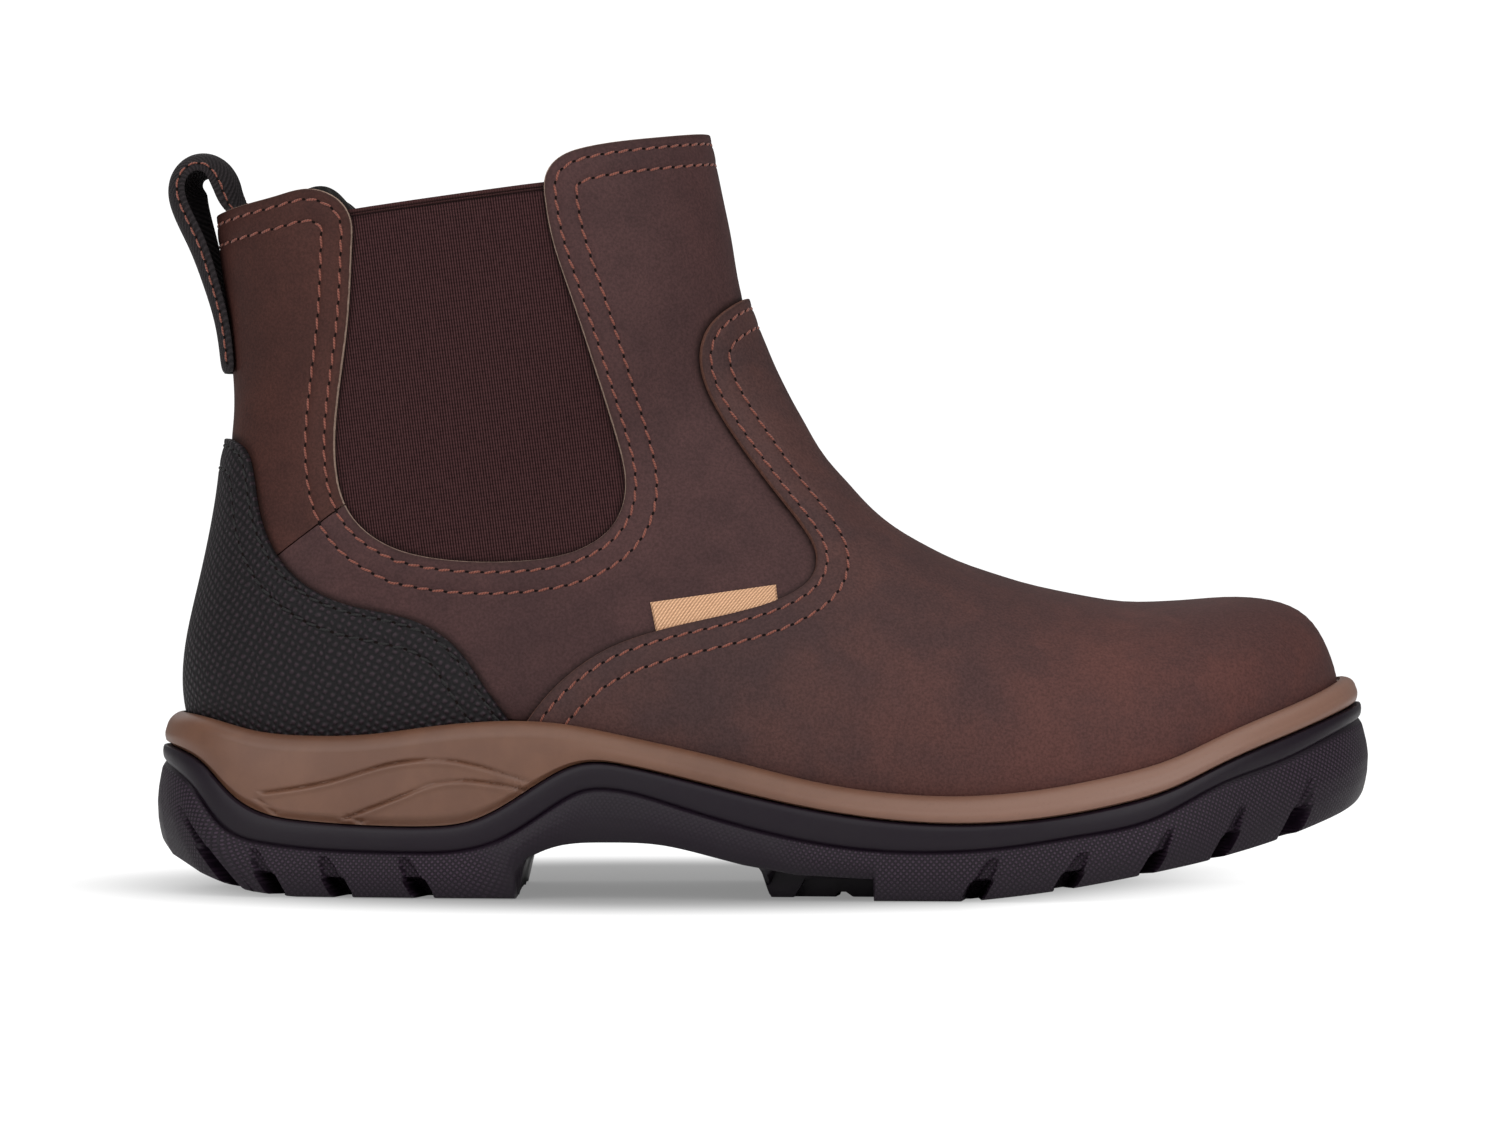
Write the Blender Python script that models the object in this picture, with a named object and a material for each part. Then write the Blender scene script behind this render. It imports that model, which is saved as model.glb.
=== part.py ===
"""Pull-on work boot for the right foot, one boot standing empty on its sole.

The upper, its overlays and the sole's outline all come from one closed surface, the last: a fan of flat
sections that runs from the toe, back along the foot, round the heel and up the shaft. Solids between two
offsets of that surface are cut by outlines drawn in side view. Toe +X, lateral side -Y, up +Z, metres.
"""
import bpy
import bmesh
import numpy as np

MM = 0.001

# Driving dimensions, in millimetres
FIT = 0.3              # clear gap between pieces that touch
WALL = 2.6             # leather and lining of the upper
VAMP_PROUD = 2.0       # outer face of the vamp above the upper
COUNTER_PROUD = 2.3    # outer face of the heel counter above the upper
GORE_RECESS = 0.7      # outer face of the elastic below the upper's face
GORE_THICK = 1.5
GORE_EASE = 0.5        # gap between the elastic and the edge of its window
INSOLE_THICK = 4.0
INSOLE_EASE = 0.5      # play between insole and the inside of the upper
SIDE_REACH = 90.0      # half width of cutters that pass through the whole boot
END_REACH = 164.0      # half length of cutters that pass the toe and the heel
ABOVE = 230.0          # height over the collar
BELOW = -30.0          # depth under the ground
FLOOR = -3.0           # how far the uncut outsole reaches below the ground
ROWS = np.concatenate([np.arange(0.5, 4.0, 0.5), np.arange(4.0, 21.3, 0.78)])  # sections of the mesh
SHAFT_END = 20.6       # section where the uncut shaft ends, above the collar
FOOT_END = 18.0        # section where the uncut overlays of the foot end
PAST_END = 0.7         # how much further the tools that hollow them reach
AROUND = 24            # points round each section
RUNGS = 36             # pairs of points along the sole's outline
SIDE_STEPS = 36        # points along the feather line's cutter
LOOP_STEPS = 20        # points along the pull loop and across it
LOOP_ACROSS = 7
LOOP_WIDTH = 19.0
LOOP_THICK = 2.3
SOLE_EDGE = 7.0        # sole's edge, measured out from the upper
CHANNEL_INSET = 15.0   # tread channel, measured in from the sole's edge
CHANNEL_WIDTH = 4.0
CHANNEL_DEPTH = 4.5
CHANNEL_FORE = 8.0     # where the forefoot's channel starts, along the boot
CHANNEL_REAR = -62.0   # where the heel's channel starts
LUG_DEPTH = 15.5       # how far the side notches run in from the sole's edge
NOTCH_WIDTH = 4.6
NOTCH_CROWN = 1.6      # rise of a notch's rounded head
SLOT_WIDTH = 3.6
RECESS_LATERAL = -30.0  # inner face of the side recess at the waist, lateral and medial
RECESS_MEDIAL = 26.0

# Sections of the last, toe to above the collar. Columns: ridge x, ridge z (front line); base x, base z
# (under the foot, then up the back); swing (sideways place of the ridge); lateral and medial half width;
# belly (widest place, as a share of the way from base to ridge); steepness of the ridge half (0 is an
# ellipse, above it leans in sooner, below it stays full)
LAST = np.array([
    [142.3, 50.0, 142.3, 50.0, 6.5, 0.0, 0.0, 0.46, -0.55],
    [140.8, 57.0, 140.8, 43.0, 6.5, 13.0, 12.2, 0.46, -0.55],
    [136.0, 65.9, 136.0, 34.0, 6.0, 23.0, 21.0, 0.46, -0.55],
    [127.0, 70.3, 127.0, 26.0, 5.2, 32.2, 29.0, 0.46, -0.55],
    [114.0, 70.9, 114.0, 20.0, 4.0, 40.6, 35.8, 0.45, -0.55],
    [98.0, 69.8, 98.0, 15.0, 2.2, 47.0, 41.8, 0.42, -0.45],
    [80.0, 71.6, 80.0, 12.0, 0.2, 50.2, 46.2, 0.38, -0.25],
    [60.4, 76.0, 58.0, 11.0, -1.8, 50.6, 47.8, 0.35, 0.0],
    [43.0, 82.5, 36.0, 12.0, -3.0, 49.0, 46.4, 0.33, 0.25],
    [29.6, 91.0, 10.0, 15.0, -3.3, 45.8, 43.2, 0.31, 0.42],
    [18.6, 101.6, -25.0, 22.0, -2.8, 42.0, 39.4, 0.30, 0.45],
    [10.2, 113.4, -70.0, 29.0, -1.9, 38.6, 36.6, 0.30, 0.36],
    [4.6, 123.6, -118.0, 28.0, -1.0, 36.2, 35.2, 0.32, 0.22],
    [1.2, 130.6, -138.8, 38.0, -0.4, 35.2, 34.7, 0.35, 0.10],
    [-1.0, 135.8, -142.2, 56.0, -0.1, 34.9, 34.6, 0.385, 0.0],
    [-2.6, 140.2, -138.7, 75.0, 0.0, 34.8, 34.5, 0.42, -0.08],
    [-4.1, 146.0, -134.6, 95.0, 0.0, 34.6, 34.3, 0.455, -0.15],
    [-5.6, 152.4, -132.3, 115.0, 0.0, 34.3, 34.0, 0.48, -0.20],
    [-7.4, 161.4, -132.4, 134.0, 0.0, 33.9, 33.6, 0.495, -0.23],
    [-10.0, 174.5, -134.7, 153.0, 0.0, 33.5, 33.2, 0.50, -0.25],
    [-13.2, 190.0, -136.5, 171.0, 0.0, 33.1, 32.8, 0.50, -0.25],
    [-16.0, 203.0, -138.2, 184.0, 0.0, 32.7, 32.4, 0.50, -0.25],
])
RIDGE_X, RIDGE_Z, BASE_X, BASE_Z, SWING, LATERAL, MEDIAL, BELLY, STEEP = range(9)

# Feather line, where the upper meets the midsole: x, z
FEATHER = np.array([
    [-165.0, 44.0], [-150.0, 44.4], [-138.0, 43.4], [-125.0, 40.2], [-112.0, 39.0], [-96.0, 39.4],
    [-81.0, 41.3], [-66.0, 42.6], [-50.0, 42.2], [-34.0, 39.3], [-10.0, 33.9], [14.0, 28.0], [32.0, 25.5],
    [48.0, 24.9], [66.0, 26.3], [87.0, 30.2], [99.0, 33.6], [111.0, 38.8], [124.0, 44.0], [136.0, 48.6],
    [150.0, 54.8], [165.0, 61.0],
])
# Line where the midsole meets the outsole: x, z
MIDSOLE_LOW = np.array([
    [-165.0, 38.5], [-150.0, 37.0], [-143.5, 35.4], [-137.0, 31.8], [-131.0, 25.6], [-124.0, 21.0],
    [-112.0, 18.5], [-97.0, 17.5], [-82.0, 17.3], [-71.0, 18.7], [-63.0, 22.4], [-53.0, 28.8], [-46.0, 32.3],
    [-40.0, 33.2], [-33.0, 32.3], [-16.0, 28.4], [8.0, 22.8], [32.0, 19.2], [48.0, 18.5], [62.0, 19.2],
    [75.0, 20.9], [87.0, 23.3], [99.0, 26.8], [111.0, 32.3], [123.0, 37.2], [135.0, 41.6], [150.0, 47.3],
    [165.0, 53.0],
])
# Underside of the outsole behind the heel's breast: x, z
HEEL_UNDER = np.array([[-158.0, 40.0], [-151.0, 22.0], [-145.5, 12.6], [-137.0, 6.2], [-127.0, 2.4],
                       [-114.0, 0.0], [-59.6, 0.0]])
# Underside of the arch, from the breast to the front of the waist: x, z
ARCH_UNDER = np.array([[-57.4, 9.6], [-51.0, 12.4], [-38.0, 13.7], [-25.0, 13.2], [-13.0, 10.6], [-0.5, 7.4]])
# Underside of the forefoot, flat and then rising to the toe: x, z
FORE_UNDER = np.array([[2.0, 0.0], [50.0, 0.0], [70.0, 2.6], [92.0, 7.4], [110.0, 11.6], [126.0, 15.2],
                       [138.0, 18.6], [147.0, 24.6], [153.0, 33.0], [160.0, 46.0]])
# Side recess between arch and first lug of the forefoot: x, z
WAIST_RECESS = np.array([[-6.0, 8.7], [8.0, 6.2], [26.5, 5.2]])

# Side wall of the midsole, bottom to top: share of its height, reach beyond the upper
MIDSOLE_WALL = np.array([[0.0, 5.4], [0.10, 6.2], [0.50, 6.7], [0.80, 6.1], [0.94, 4.6], [1.0, 2.6]])
# Side wall of the outsole, top to bottom: drop from its top edge, share of the rest to the floor, reach
OUTSOLE_WALL = np.array([[0.0, 0.0, 5.8], [0.9, 0.0, 7.0], [6.2, 0.0, 7.2], [6.8, 0.0, 6.3], [7.4, 0.0, 7.6],
                         [7.4, 0.45, 8.3], [7.4, 1.0, 6.6]])

# Side notches between the lugs: foot x, z and head x, z of each slanting slot
NOTCHES = np.array([
    [-134.4, -2.0, -142.5, 18.0], [-117.6, -7.0, -124.0, 10.5], [-97.8, -7.0, -106.5, 9.0],
    [-75.2, -7.0, -86.5, 9.0], [46.9, -7.0, 55.5, 9.4], [67.8, -6.0, 77.0, 10.8], [90.1, -2.0, 98.6, 16.2],
    [107.7, 2.0, 116.4, 21.4], [124.3, 6.0, 133.4, 28.0],
])
# Cross slots in the tread's middle pad: x
SLOTS = np.array([-100.0, -80.0, 18.0, 36.0, 55.0, 76.0, 98.0])

# Edge of the elastic's window, down the back, round the bottom and up the front: x, z
GORE_EDGE = np.array([
    [-101.0, 178.0], [-100.7, 160.0], [-101.8, 141.0], [-104.2, 122.0], [-104.6, 105.0], [-101.5, 94.6],
    [-93.0, 86.6], [-78.0, 82.4], [-60.0, 82.0], [-45.0, 84.8], [-36.4, 91.0], [-33.4, 100.0],
    [-35.4, 112.0], [-41.0, 130.0], [-47.0, 148.0], [-51.8, 163.5], [-53.3, 174.0], [-53.8, 184.0],
])
GORE_TOP = np.array([[-104.0, 168.0], [-50.0, 174.0]])
# Collar of the back part and of the front part: x, z
COLLAR_BACK = np.array([[-146.0, 160.5], [-134.5, 166.6], [-127.0, 169.6], [-119.7, 171.7], [-111.6, 173.4],
                        [-106.6, 172.2], [-102.6, 169.0], [-97.0, 166.0]])
COLLAR_FRONT = np.array([[-58.0, 170.0], [-53.0, 176.0], [-51.4, 179.4], [-48.0, 181.9], [-43.0, 183.6],
                         [-25.0, 186.6], [-12.0, 188.6], [4.0, 191.0]])
# Edge of the vamp, from the tab at the throat down to the feather line: x, z
VAMP_EDGE = np.array([
    [6.0, 151.0], [-2.7, 146.1], [-8.0, 142.7], [-12.5, 138.6], [-14.7, 132.0], [-13.2, 125.4],
    [-8.0, 115.7], [-1.4, 105.9], [5.7, 96.5], [11.2, 89.0], [13.6, 83.0], [12.6, 78.0], [8.0, 73.9],
    [-3.0, 69.2], [-18.0, 65.8], [-30.0, 63.8], [-38.0, 60.8], [-46.0, 55.2], [-52.5, 49.0], [-58.0, 42.0],
    [-63.0, 34.0],
])
# Edge of the heel counter, from the back seam down to the feather line: x, z
COUNTER_EDGE = np.array([
    [-142.0, 114.0], [-132.0, 112.4], [-127.6, 109.8], [-125.3, 104.0], [-123.3, 93.5], [-119.8, 85.0],
    [-114.5, 78.4], [-107.0, 73.4], [-97.0, 70.2], [-86.5, 67.8], [-78.2, 63.8], [-72.6, 58.6],
    [-67.6, 51.4], [-61.8, 43.4], [-56.0, 35.0],
])
# Middle line of the pull loop, from its sewn outer end over the top to its inner end: x, z, and how far
# the edges of the webbing bend into the loop
PULL_LOOP = np.array([
    [-134.0, 130.0, 2.2], [-136.2, 141.0, 2.2], [-139.4, 151.5, 2.8], [-143.2, 161.0, 3.8],
    [-146.2, 168.5, 4.6], [-147.2, 174.0, 4.6], [-146.0, 179.0, 4.0], [-142.4, 182.2, 3.6],
    [-138.0, 182.6, 3.6], [-133.8, 180.2, 3.8], [-131.2, 175.5, 2.4], [-130.2, 169.0, -1.6],
    [-129.6, 160.0, -2.0], [-128.8, 151.0, -2.0],
])


def spline(knots, values, at):
    """Natural cubic spline: values (one row for each knot) read at the given places."""
    gap = np.diff(knots)
    rise = np.diff(values, axis=0) / gap[:, None]
    system = np.eye(len(knots))
    right = np.zeros(values.shape)
    for row in range(1, len(knots) - 1):
        system[row, row - 1] = gap[row - 1]
        system[row, row] = 2 * (gap[row - 1] + gap[row])
        system[row, row + 1] = gap[row]
        right[row] = 6 * (rise[row] - rise[row - 1])
    bend = np.linalg.solve(system, right)
    place = np.clip(np.searchsorted(knots, at) - 1, 0, len(gap) - 1)
    span = gap[place][..., None]
    after = (at - knots[place])[..., None] / span
    before = 1 - after
    curve = (before ** 3 - before) * bend[place] + (after ** 3 - after) * bend[place + 1]
    return before * values[place] + after * values[place + 1] + curve * span ** 2 / 6


def height(line, x):
    """Height of a side-view line of x, z rows at the given x."""
    return spline(line[:, 0], line[:, 1:], np.asarray(x, float))[..., 0]


def smooth_line(points, step=5.0):
    """Side-view curve through the points, with about one point for each step of length."""
    along = np.concatenate([[0], np.cumsum(np.linalg.norm(np.diff(points, axis=0), axis=1))])
    count = max(int(along[-1] / step), 2)
    return spline(along, points, np.linspace(0, along[-1], count + 1))


def last_rows(u):
    """Columns of the table at section number u; past the toe ridge and base swap, to round it."""
    ahead = LAST[2:0:-1].copy()
    ahead[:, [RIDGE_X, RIDGE_Z, BASE_X, BASE_Z]] = ahead[:, [BASE_X, BASE_Z, RIDGE_X, RIDGE_Z]]
    ahead[:, [LATERAL, MEDIAL]] *= -1
    table = np.concatenate([ahead, LAST])
    return spline(np.arange(-2.0, len(LAST)), table, np.asarray(u, float))


def last_point(u, turn):
    """Point of the last in section u; turn runs from the ridge (0) down the lateral side to the base (pi) and
    back up the medial side. Above and below its widest place a section is an ellipse made steeper or fuller;
    the base half takes the steepness that keeps the curvature even there."""
    row = last_rows(u)
    lift = np.cos(turn)
    away = np.abs(lift)
    belly = row[..., BELLY]
    steep = np.where(lift > 0, row[..., STEEP], (1 + row[..., STEEP]) * (belly / (1 - belly)) ** 2 - 1)
    share = np.where(lift > 0, belly + (1 - belly) * lift, belly + belly * lift)
    out = np.sqrt(np.maximum(1 - away ** 2 * (1 + steep * (1 - away)), 0)) * np.sign(np.sin(turn))
    wide = np.where(np.sin(turn) > 0, row[..., LATERAL], row[..., MEDIAL])
    x = row[..., BASE_X] + share * (row[..., RIDGE_X] - row[..., BASE_X])
    z = row[..., BASE_Z] + share * (row[..., RIDGE_Z] - row[..., BASE_Z])
    return np.stack([x, row[..., SWING] - wide * out, z], axis=-1)


def last_offset(u, turn, offset):
    """Point of the last moved out along its normal."""
    small = 0.01
    along = last_point(u + small, turn) - last_point(u - small, turn)
    around = last_point(u, turn + small) - last_point(u, turn - small)
    normal = np.cross(along, around)
    normal /= np.linalg.norm(normal, axis=-1, keepdims=True)
    return last_point(u, turn) + offset * normal


def make_object(name, points, faces, cutter=False):
    """Closed mesh object from points in millimetres, triangulated and facing out."""
    mesh = bpy.data.meshes.new(name)
    work = bmesh.new()
    corners = [work.verts.new(point) for point in np.asarray(points) * MM]
    for face in faces:
        work.faces.new([corners[index] for index in face])
    bmesh.ops.recalc_face_normals(work, faces=work.faces)
    bmesh.ops.triangulate(work, faces=work.faces)
    work.to_mesh(mesh)
    work.free()
    thing = bpy.data.objects.new(name, mesh)
    bpy.context.scene.collection.objects.link(thing)
    thing.parent = boot
    if cutter:
        thing.hide_render = True
        thing.display_type = 'WIRE'
    return thing


def sock(name, offset, sections, cutter=True):
    """Closed solid of the last at an offset, up to the given section number."""
    u = ROWS[ROWS < sections]
    turn = np.linspace(0, 2 * np.pi, AROUND, endpoint=False)
    grid = last_offset(*np.meshgrid(u, turn, indexing='ij'), offset)
    tip = LAST[0, [RIDGE_X, SWING, RIDGE_Z]] + [offset, 0, 0]
    points = np.concatenate([grid.reshape(-1, 3), [tip], [grid[-1].mean(axis=0)]])
    toe = len(points) - 2
    top = len(points) - 1
    last_ring = (len(u) - 1) * AROUND
    faces = []
    for step in range(AROUND):
        after = (step + 1) % AROUND
        faces.append((toe, step, after))
        faces.append((top, last_ring + after, last_ring + step))
        for row in range(len(u) - 1):
            low = row * AROUND
            high = low + AROUND
            faces.append((low + step, high + step, high + after, low + after))
    return make_object(name, points, faces, cutter)


def prisms(name, outlines):
    """Side-view outlines pushed through the boot, each from one y to another; one mesh for all of them."""
    points = []
    faces = []
    for outline, start, end in outlines:
        first = len(points)
        count = len(outline)
        points += [(x, start, z) for x, z in outline]
        points += [(x, end, z) for x, z in outline]
        faces.append(tuple(range(first, first + count)))
        faces.append(tuple(range(first + 2 * count - 1, first + count - 1, -1)))
        for step in range(count):
            after = (step + 1) % count
            faces.append((first + after, first + step, first + count + step, first + count + after))
    return make_object(name, points, faces, cutter=True)


def cut(thing, tool, operation='DIFFERENCE'):
    """Boolean of the thing with a tool."""
    change = thing.modifiers.new(tool.name, 'BOOLEAN')
    change.object = tool
    change.operation = operation
    change.solver = 'EXACT'


def paint(thing, colour, roughness):
    """Own plain material for one piece."""
    finish = bpy.data.materials.new(thing.name)
    finish.use_nodes = True
    shader = finish.node_tree.nodes['Principled BSDF']
    shader.inputs['Base Color'].default_value = (*colour, 1)
    shader.inputs['Roughness'].default_value = roughness
    shader.inputs['Metallic'].default_value = 0
    thing.data.materials.append(finish)


def shrink(outline, inset):
    """Closed side-view outline moved inwards by the inset."""
    along = np.roll(outline, -1, axis=0) - np.roll(outline, 1, axis=0)
    along /= np.linalg.norm(along, axis=1, keepdims=True)
    inwards = np.stack([-along[:, 1], along[:, 0]], axis=1)
    area = np.sum(outline[:, 0] * np.roll(outline[:, 1], -1) - np.roll(outline[:, 0], -1) * outline[:, 1])
    return outline + inset * np.sign(area) * inwards


def feather_turn(u):
    """How far round each section the feather line lies, found by halving."""
    high = np.zeros(len(u))
    low = np.full(len(u), np.pi)
    for halving in range(40):
        middle = (high + low) / 2
        point = last_point(u, middle)
        above = point[:, 2] > height(FEATHER, point[:, 0])
        high = np.where(above, middle, high)
        low = np.where(above, low, middle)
    return (high + low) / 2


def meeting_section(turn, start, end):
    """Section where the ridge (turn 0) or the base (turn pi) crosses the feather line, found by halving."""
    for halving in range(40):
        middle = (start + end) / 2
        point = last_point(np.array([middle]), np.array([turn]))[0]
        if point[2] > height(FEATHER, point[0]):
            end = middle
        else:
            start = middle
    return (start + end) / 2


def sole_outline():
    """Feather line in plan as a closed loop: toe, lateral side, heel, medial side, with paired points."""
    toe = meeting_section(0.0, 0.02, 2.0)
    heel = meeting_section(np.pi, 12.5, 15.0)
    ease = (1 - np.cos(np.linspace(0, np.pi, 400))) / 2
    fine = toe + (heel - toe) * ease
    path = last_point(fine, feather_turn(fine))
    along = np.concatenate([[0], np.cumsum(np.linalg.norm(np.diff(path, axis=0), axis=1))])
    u = np.interp(np.linspace(0, along[-1], RUNGS + 1), along, fine)
    turn = feather_turn(u)
    lateral = last_point(u, turn)
    medial = last_point(u, 2 * np.pi - turn)
    return np.concatenate([lateral, medial[-2:0:-1]])[:, :2]


def reach_out(loop, reach):
    """Plan loop moved outwards."""
    along = np.roll(loop, -1, axis=0) - np.roll(loop, 1, axis=0)
    along /= np.linalg.norm(along, axis=1, keepdims=True)
    return loop + reach * np.stack([along[:, 1], -along[:, 0]], axis=1) * TURN_SIDE


def sole_body(name, rings):
    """Solid stacked from rings of paired points, closed top and bottom by rungs from side to side."""
    around = len(rings[0])
    points = np.concatenate(rings)
    faces = []
    for level in range(len(rings) - 1):
        for step in range(around):
            after = (step + 1) % around
            low = level * around
            faces.append((low + step, low + after, low + around + after, low + around + step))
    for start in (0, (len(rings) - 1) * around):
        faces.append((start, start + 1, start + around - 1))
        faces.append((start + RUNGS - 1, start + RUNGS, start + RUNGS + 1))
        for step in range(1, RUNGS - 1):
            other = around - step
            faces.append((start + step, start + step + 1, start + other - 1, start + other))
    return make_object(name, points, faces)


def under_line():
    """Underside of the outsole from heel to toe."""
    return np.concatenate([HEEL_UNDER, ARCH_UNDER, FORE_UNDER])


def channel(loop, first, last):
    """Tread channel along part of the sole's outline: a square-sided trough above and below the underside."""
    pick = np.arange(first, last + 1) % len(loop)
    line = under_line()
    outer = reach_out(loop, SOLE_EDGE - CHANNEL_INSET)[pick]
    inner = reach_out(loop, SOLE_EDGE - CHANNEL_INSET - CHANNEL_WIDTH)[pick]
    rise = np.maximum(np.interp(outer[:, 0], line[:, 0], line[:, 1]), 0) + CHANNEL_DEPTH
    sides = []
    for edge, level in ((outer, rise), (inner, rise), (inner, rise + BELOW), (outer, rise + BELOW)):
        sides.append(np.column_stack([edge, level]))
    return np.stack(sides, axis=1)


def troughs(name, paths):
    """Bars of four-cornered section along paths, one mesh for all of them."""
    points = []
    faces = []
    for path in paths:
        first = len(points)
        points += [tuple(corner) for corner in path.reshape(-1, 3)]
        for row in range(len(path) - 1):
            for side in range(4):
                near = first + row * 4 + side
                beside = first + row * 4 + (side + 1) % 4
                faces.append((near, beside, beside + 4, near + 4))
        faces.append((first, first + 1, first + 2, first + 3))
        end = first + (len(path) - 1) * 4
        faces.append((end + 3, end + 2, end + 1, end))
    return make_object(name, points, faces, cutter=True)


# Start from an empty scene
for thing in list(bpy.data.objects):
    bpy.data.objects.remove(thing)
boot = bpy.data.objects.new("boot", None)
bpy.context.scene.collection.objects.link(boot)

# Side-view tools that several pieces share
reach_x = np.linspace(-END_REACH, END_REACH, SIDE_STEPS)
feather_z = height(FEATHER, reach_x)
below = np.column_stack([reach_x, feather_z + FIT])
under_feather = prisms("under feather", [
    (np.concatenate([below, [(END_REACH, BELOW), (-END_REACH, BELOW)]]), -SIDE_REACH, SIDE_REACH)])

# Upper: one hollow shell, open at the collar, below the feather line and at the two windows
upper = sock("upper", 0.0, SHAFT_END, cutter=False)
cut(upper, sock("inside", -WALL, SHAFT_END + PAST_END))
cut(upper, under_feather)
window = np.concatenate([smooth_line(GORE_EDGE), [(GORE_EDGE[-1, 0], ABOVE), (GORE_EDGE[0, 0], ABOVE)]])
cut(upper, prisms("windows", [(window, -SIDE_REACH, SIDE_REACH)]))
collar = []
for line in (COLLAR_BACK, COLLAR_FRONT):
    over = [(line[-1, 0], ABOVE), (line[0, 0], ABOVE)]
    collar.append((np.concatenate([smooth_line(line), over]), -SIDE_REACH, SIDE_REACH))
cut(upper, prisms("collar", collar))

# Vamp: overlay on the front of the upper
vamp = sock("vamp", VAMP_PROUD, FOOT_END, cutter=False)
front = [(VAMP_EDGE[-1, 0], BELOW), (END_REACH, BELOW), (END_REACH, VAMP_EDGE[0, 1])]
vamp_outline = np.concatenate([smooth_line(VAMP_EDGE), front])
cut(vamp, prisms("vamp outline", [(vamp_outline, -SIDE_REACH, SIDE_REACH)]), 'INTERSECT')
cut(vamp, sock("vamp bed", FIT, FOOT_END + PAST_END))
cut(vamp, under_feather)

# Heel counter: overlay round the back
counter = sock("heel_counter", COUNTER_PROUD, FOOT_END, cutter=False)
back = [(COUNTER_EDGE[-1, 0], BELOW), (-END_REACH, BELOW), (-END_REACH, COUNTER_EDGE[0, 1])]
counter_outline = np.concatenate([smooth_line(COUNTER_EDGE), back])
cut(counter, prisms("counter outline", [(counter_outline, -SIDE_REACH, SIDE_REACH)]), 'INTERSECT')
cut(counter, sock("counter bed", FIT, FOOT_END + PAST_END))
cut(counter, under_feather)

# Elastic panels: one in each window
gore_outline = shrink(window, GORE_EASE)
over = np.concatenate([GORE_TOP, [(GORE_TOP[1, 0], ABOVE), (GORE_TOP[0, 0], ABOVE)]])
gore_top = prisms("elastic top", [(over, -SIDE_REACH, SIDE_REACH)])
gores = []
for side, start, end in (("lateral", -SIDE_REACH, 0), ("medial", 0, SIDE_REACH)):
    gore = sock("gore_" + side, -GORE_RECESS, SHAFT_END, cutter=False)
    cut(gore, prisms(side + " elastic outline", [(gore_outline, start, end)]), 'INTERSECT')
    cut(gore, sock(side + " elastic back", -GORE_RECESS - GORE_THICK, SHAFT_END + PAST_END))
    cut(gore, gore_top)
    gores.append(gore)

# Insole: slab inside the upper
insole = sock("insole", -WALL - INSOLE_EASE, FOOT_END, cutter=False)
slab = np.concatenate([
    np.column_stack([reach_x, feather_z + FIT]),
    np.column_stack([reach_x, feather_z + FIT + INSOLE_THICK])[::-1]])
cut(insole, prisms("insole slab", [(slab, -SIDE_REACH, SIDE_REACH)]), 'INTERSECT')

# Sole: midsole and outsole stacked from rings round the feather line
loop = sole_outline()
TURN_SIDE = 1.0
if np.abs(reach_out(loop, 1.0)[:, 1]).max() < np.abs(loop[:, 1]).max():
    TURN_SIDE = -1.0
rings = []
for share, reach in MIDSOLE_WALL:
    ring = reach_out(loop, reach)
    low = height(MIDSOLE_LOW, ring[:, 0]) + FIT / 2
    high = height(FEATHER, ring[:, 0]) - FIT / 2
    rings.append(np.column_stack([ring, low + share * (high - low)]))
midsole = sole_body("midsole", rings)

rings = []
for drop, share, reach in OUTSOLE_WALL:
    ring = reach_out(loop, reach)
    top = height(MIDSOLE_LOW, ring[:, 0]) - FIT / 2 - drop
    rings.append(np.column_stack([ring, top + share * (FLOOR - top)]))
outsole = sole_body("outsole", rings)

# Outsole: ground line, side notches, tread channels and cross slots
ground = np.concatenate([smooth_line(HEEL_UNDER[:6]), HEEL_UNDER[6:], smooth_line(ARCH_UNDER),
                         FORE_UNDER[:1], smooth_line(FORE_UNDER[1:])])
ground = np.concatenate([ground, [(ground[-1, 0], BELOW), (ground[0, 0], BELOW)]])
cut(outsole, prisms("ground", [(ground, -SIDE_REACH, SIDE_REACH)]))
sole_edge = reach_out(loop, SOLE_EDGE)
lateral_edge = sole_edge[:RUNGS + 1][::-1]
medial_edge = np.concatenate([sole_edge[RUNGS:], sole_edge[:1]])
sides = []
for x_foot, z_foot, x_head, z_head in NOTCHES:
    lean = np.array([x_head - x_foot, z_head - z_foot])
    lean /= np.linalg.norm(lean)
    across = np.array([lean[1], -lean[0]]) * NOTCH_WIDTH / 2
    foot = np.array([x_foot, z_foot])
    head = np.array([x_head, z_head])
    slot = np.array([foot + across, foot - across, head - across, head + lean * NOTCH_CROWN, head + across])
    x_middle = (x_foot + x_head) / 2
    lateral_in = np.interp(x_middle, lateral_edge[:, 0], lateral_edge[:, 1]) + LUG_DEPTH
    medial_in = np.interp(x_middle, medial_edge[:, 0], medial_edge[:, 1]) - LUG_DEPTH
    sides.append((slot, -SIDE_REACH, lateral_in))
    sides.append((slot, medial_in, SIDE_REACH))
cut(outsole, prisms("side notches", sides))
recess = np.concatenate([WAIST_RECESS, [(WAIST_RECESS[-1, 0], BELOW), (WAIST_RECESS[0, 0], BELOW)]])
waist = [(recess, -SIDE_REACH, RECESS_LATERAL), (recess, RECESS_MEDIAL, SIDE_REACH)]
cut(outsole, prisms("waist recess", waist))
fore = int(np.sum(loop[:RUNGS, 0] > CHANNEL_FORE))
rear = int(np.sum(loop[:RUNGS, 0] > CHANNEL_REAR))
paths = [channel(loop, -fore, fore), channel(loop, rear, 2 * RUNGS - rear)]
cut(outsole, troughs("tread channels", paths))
line = under_line()
slots = []
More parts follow.
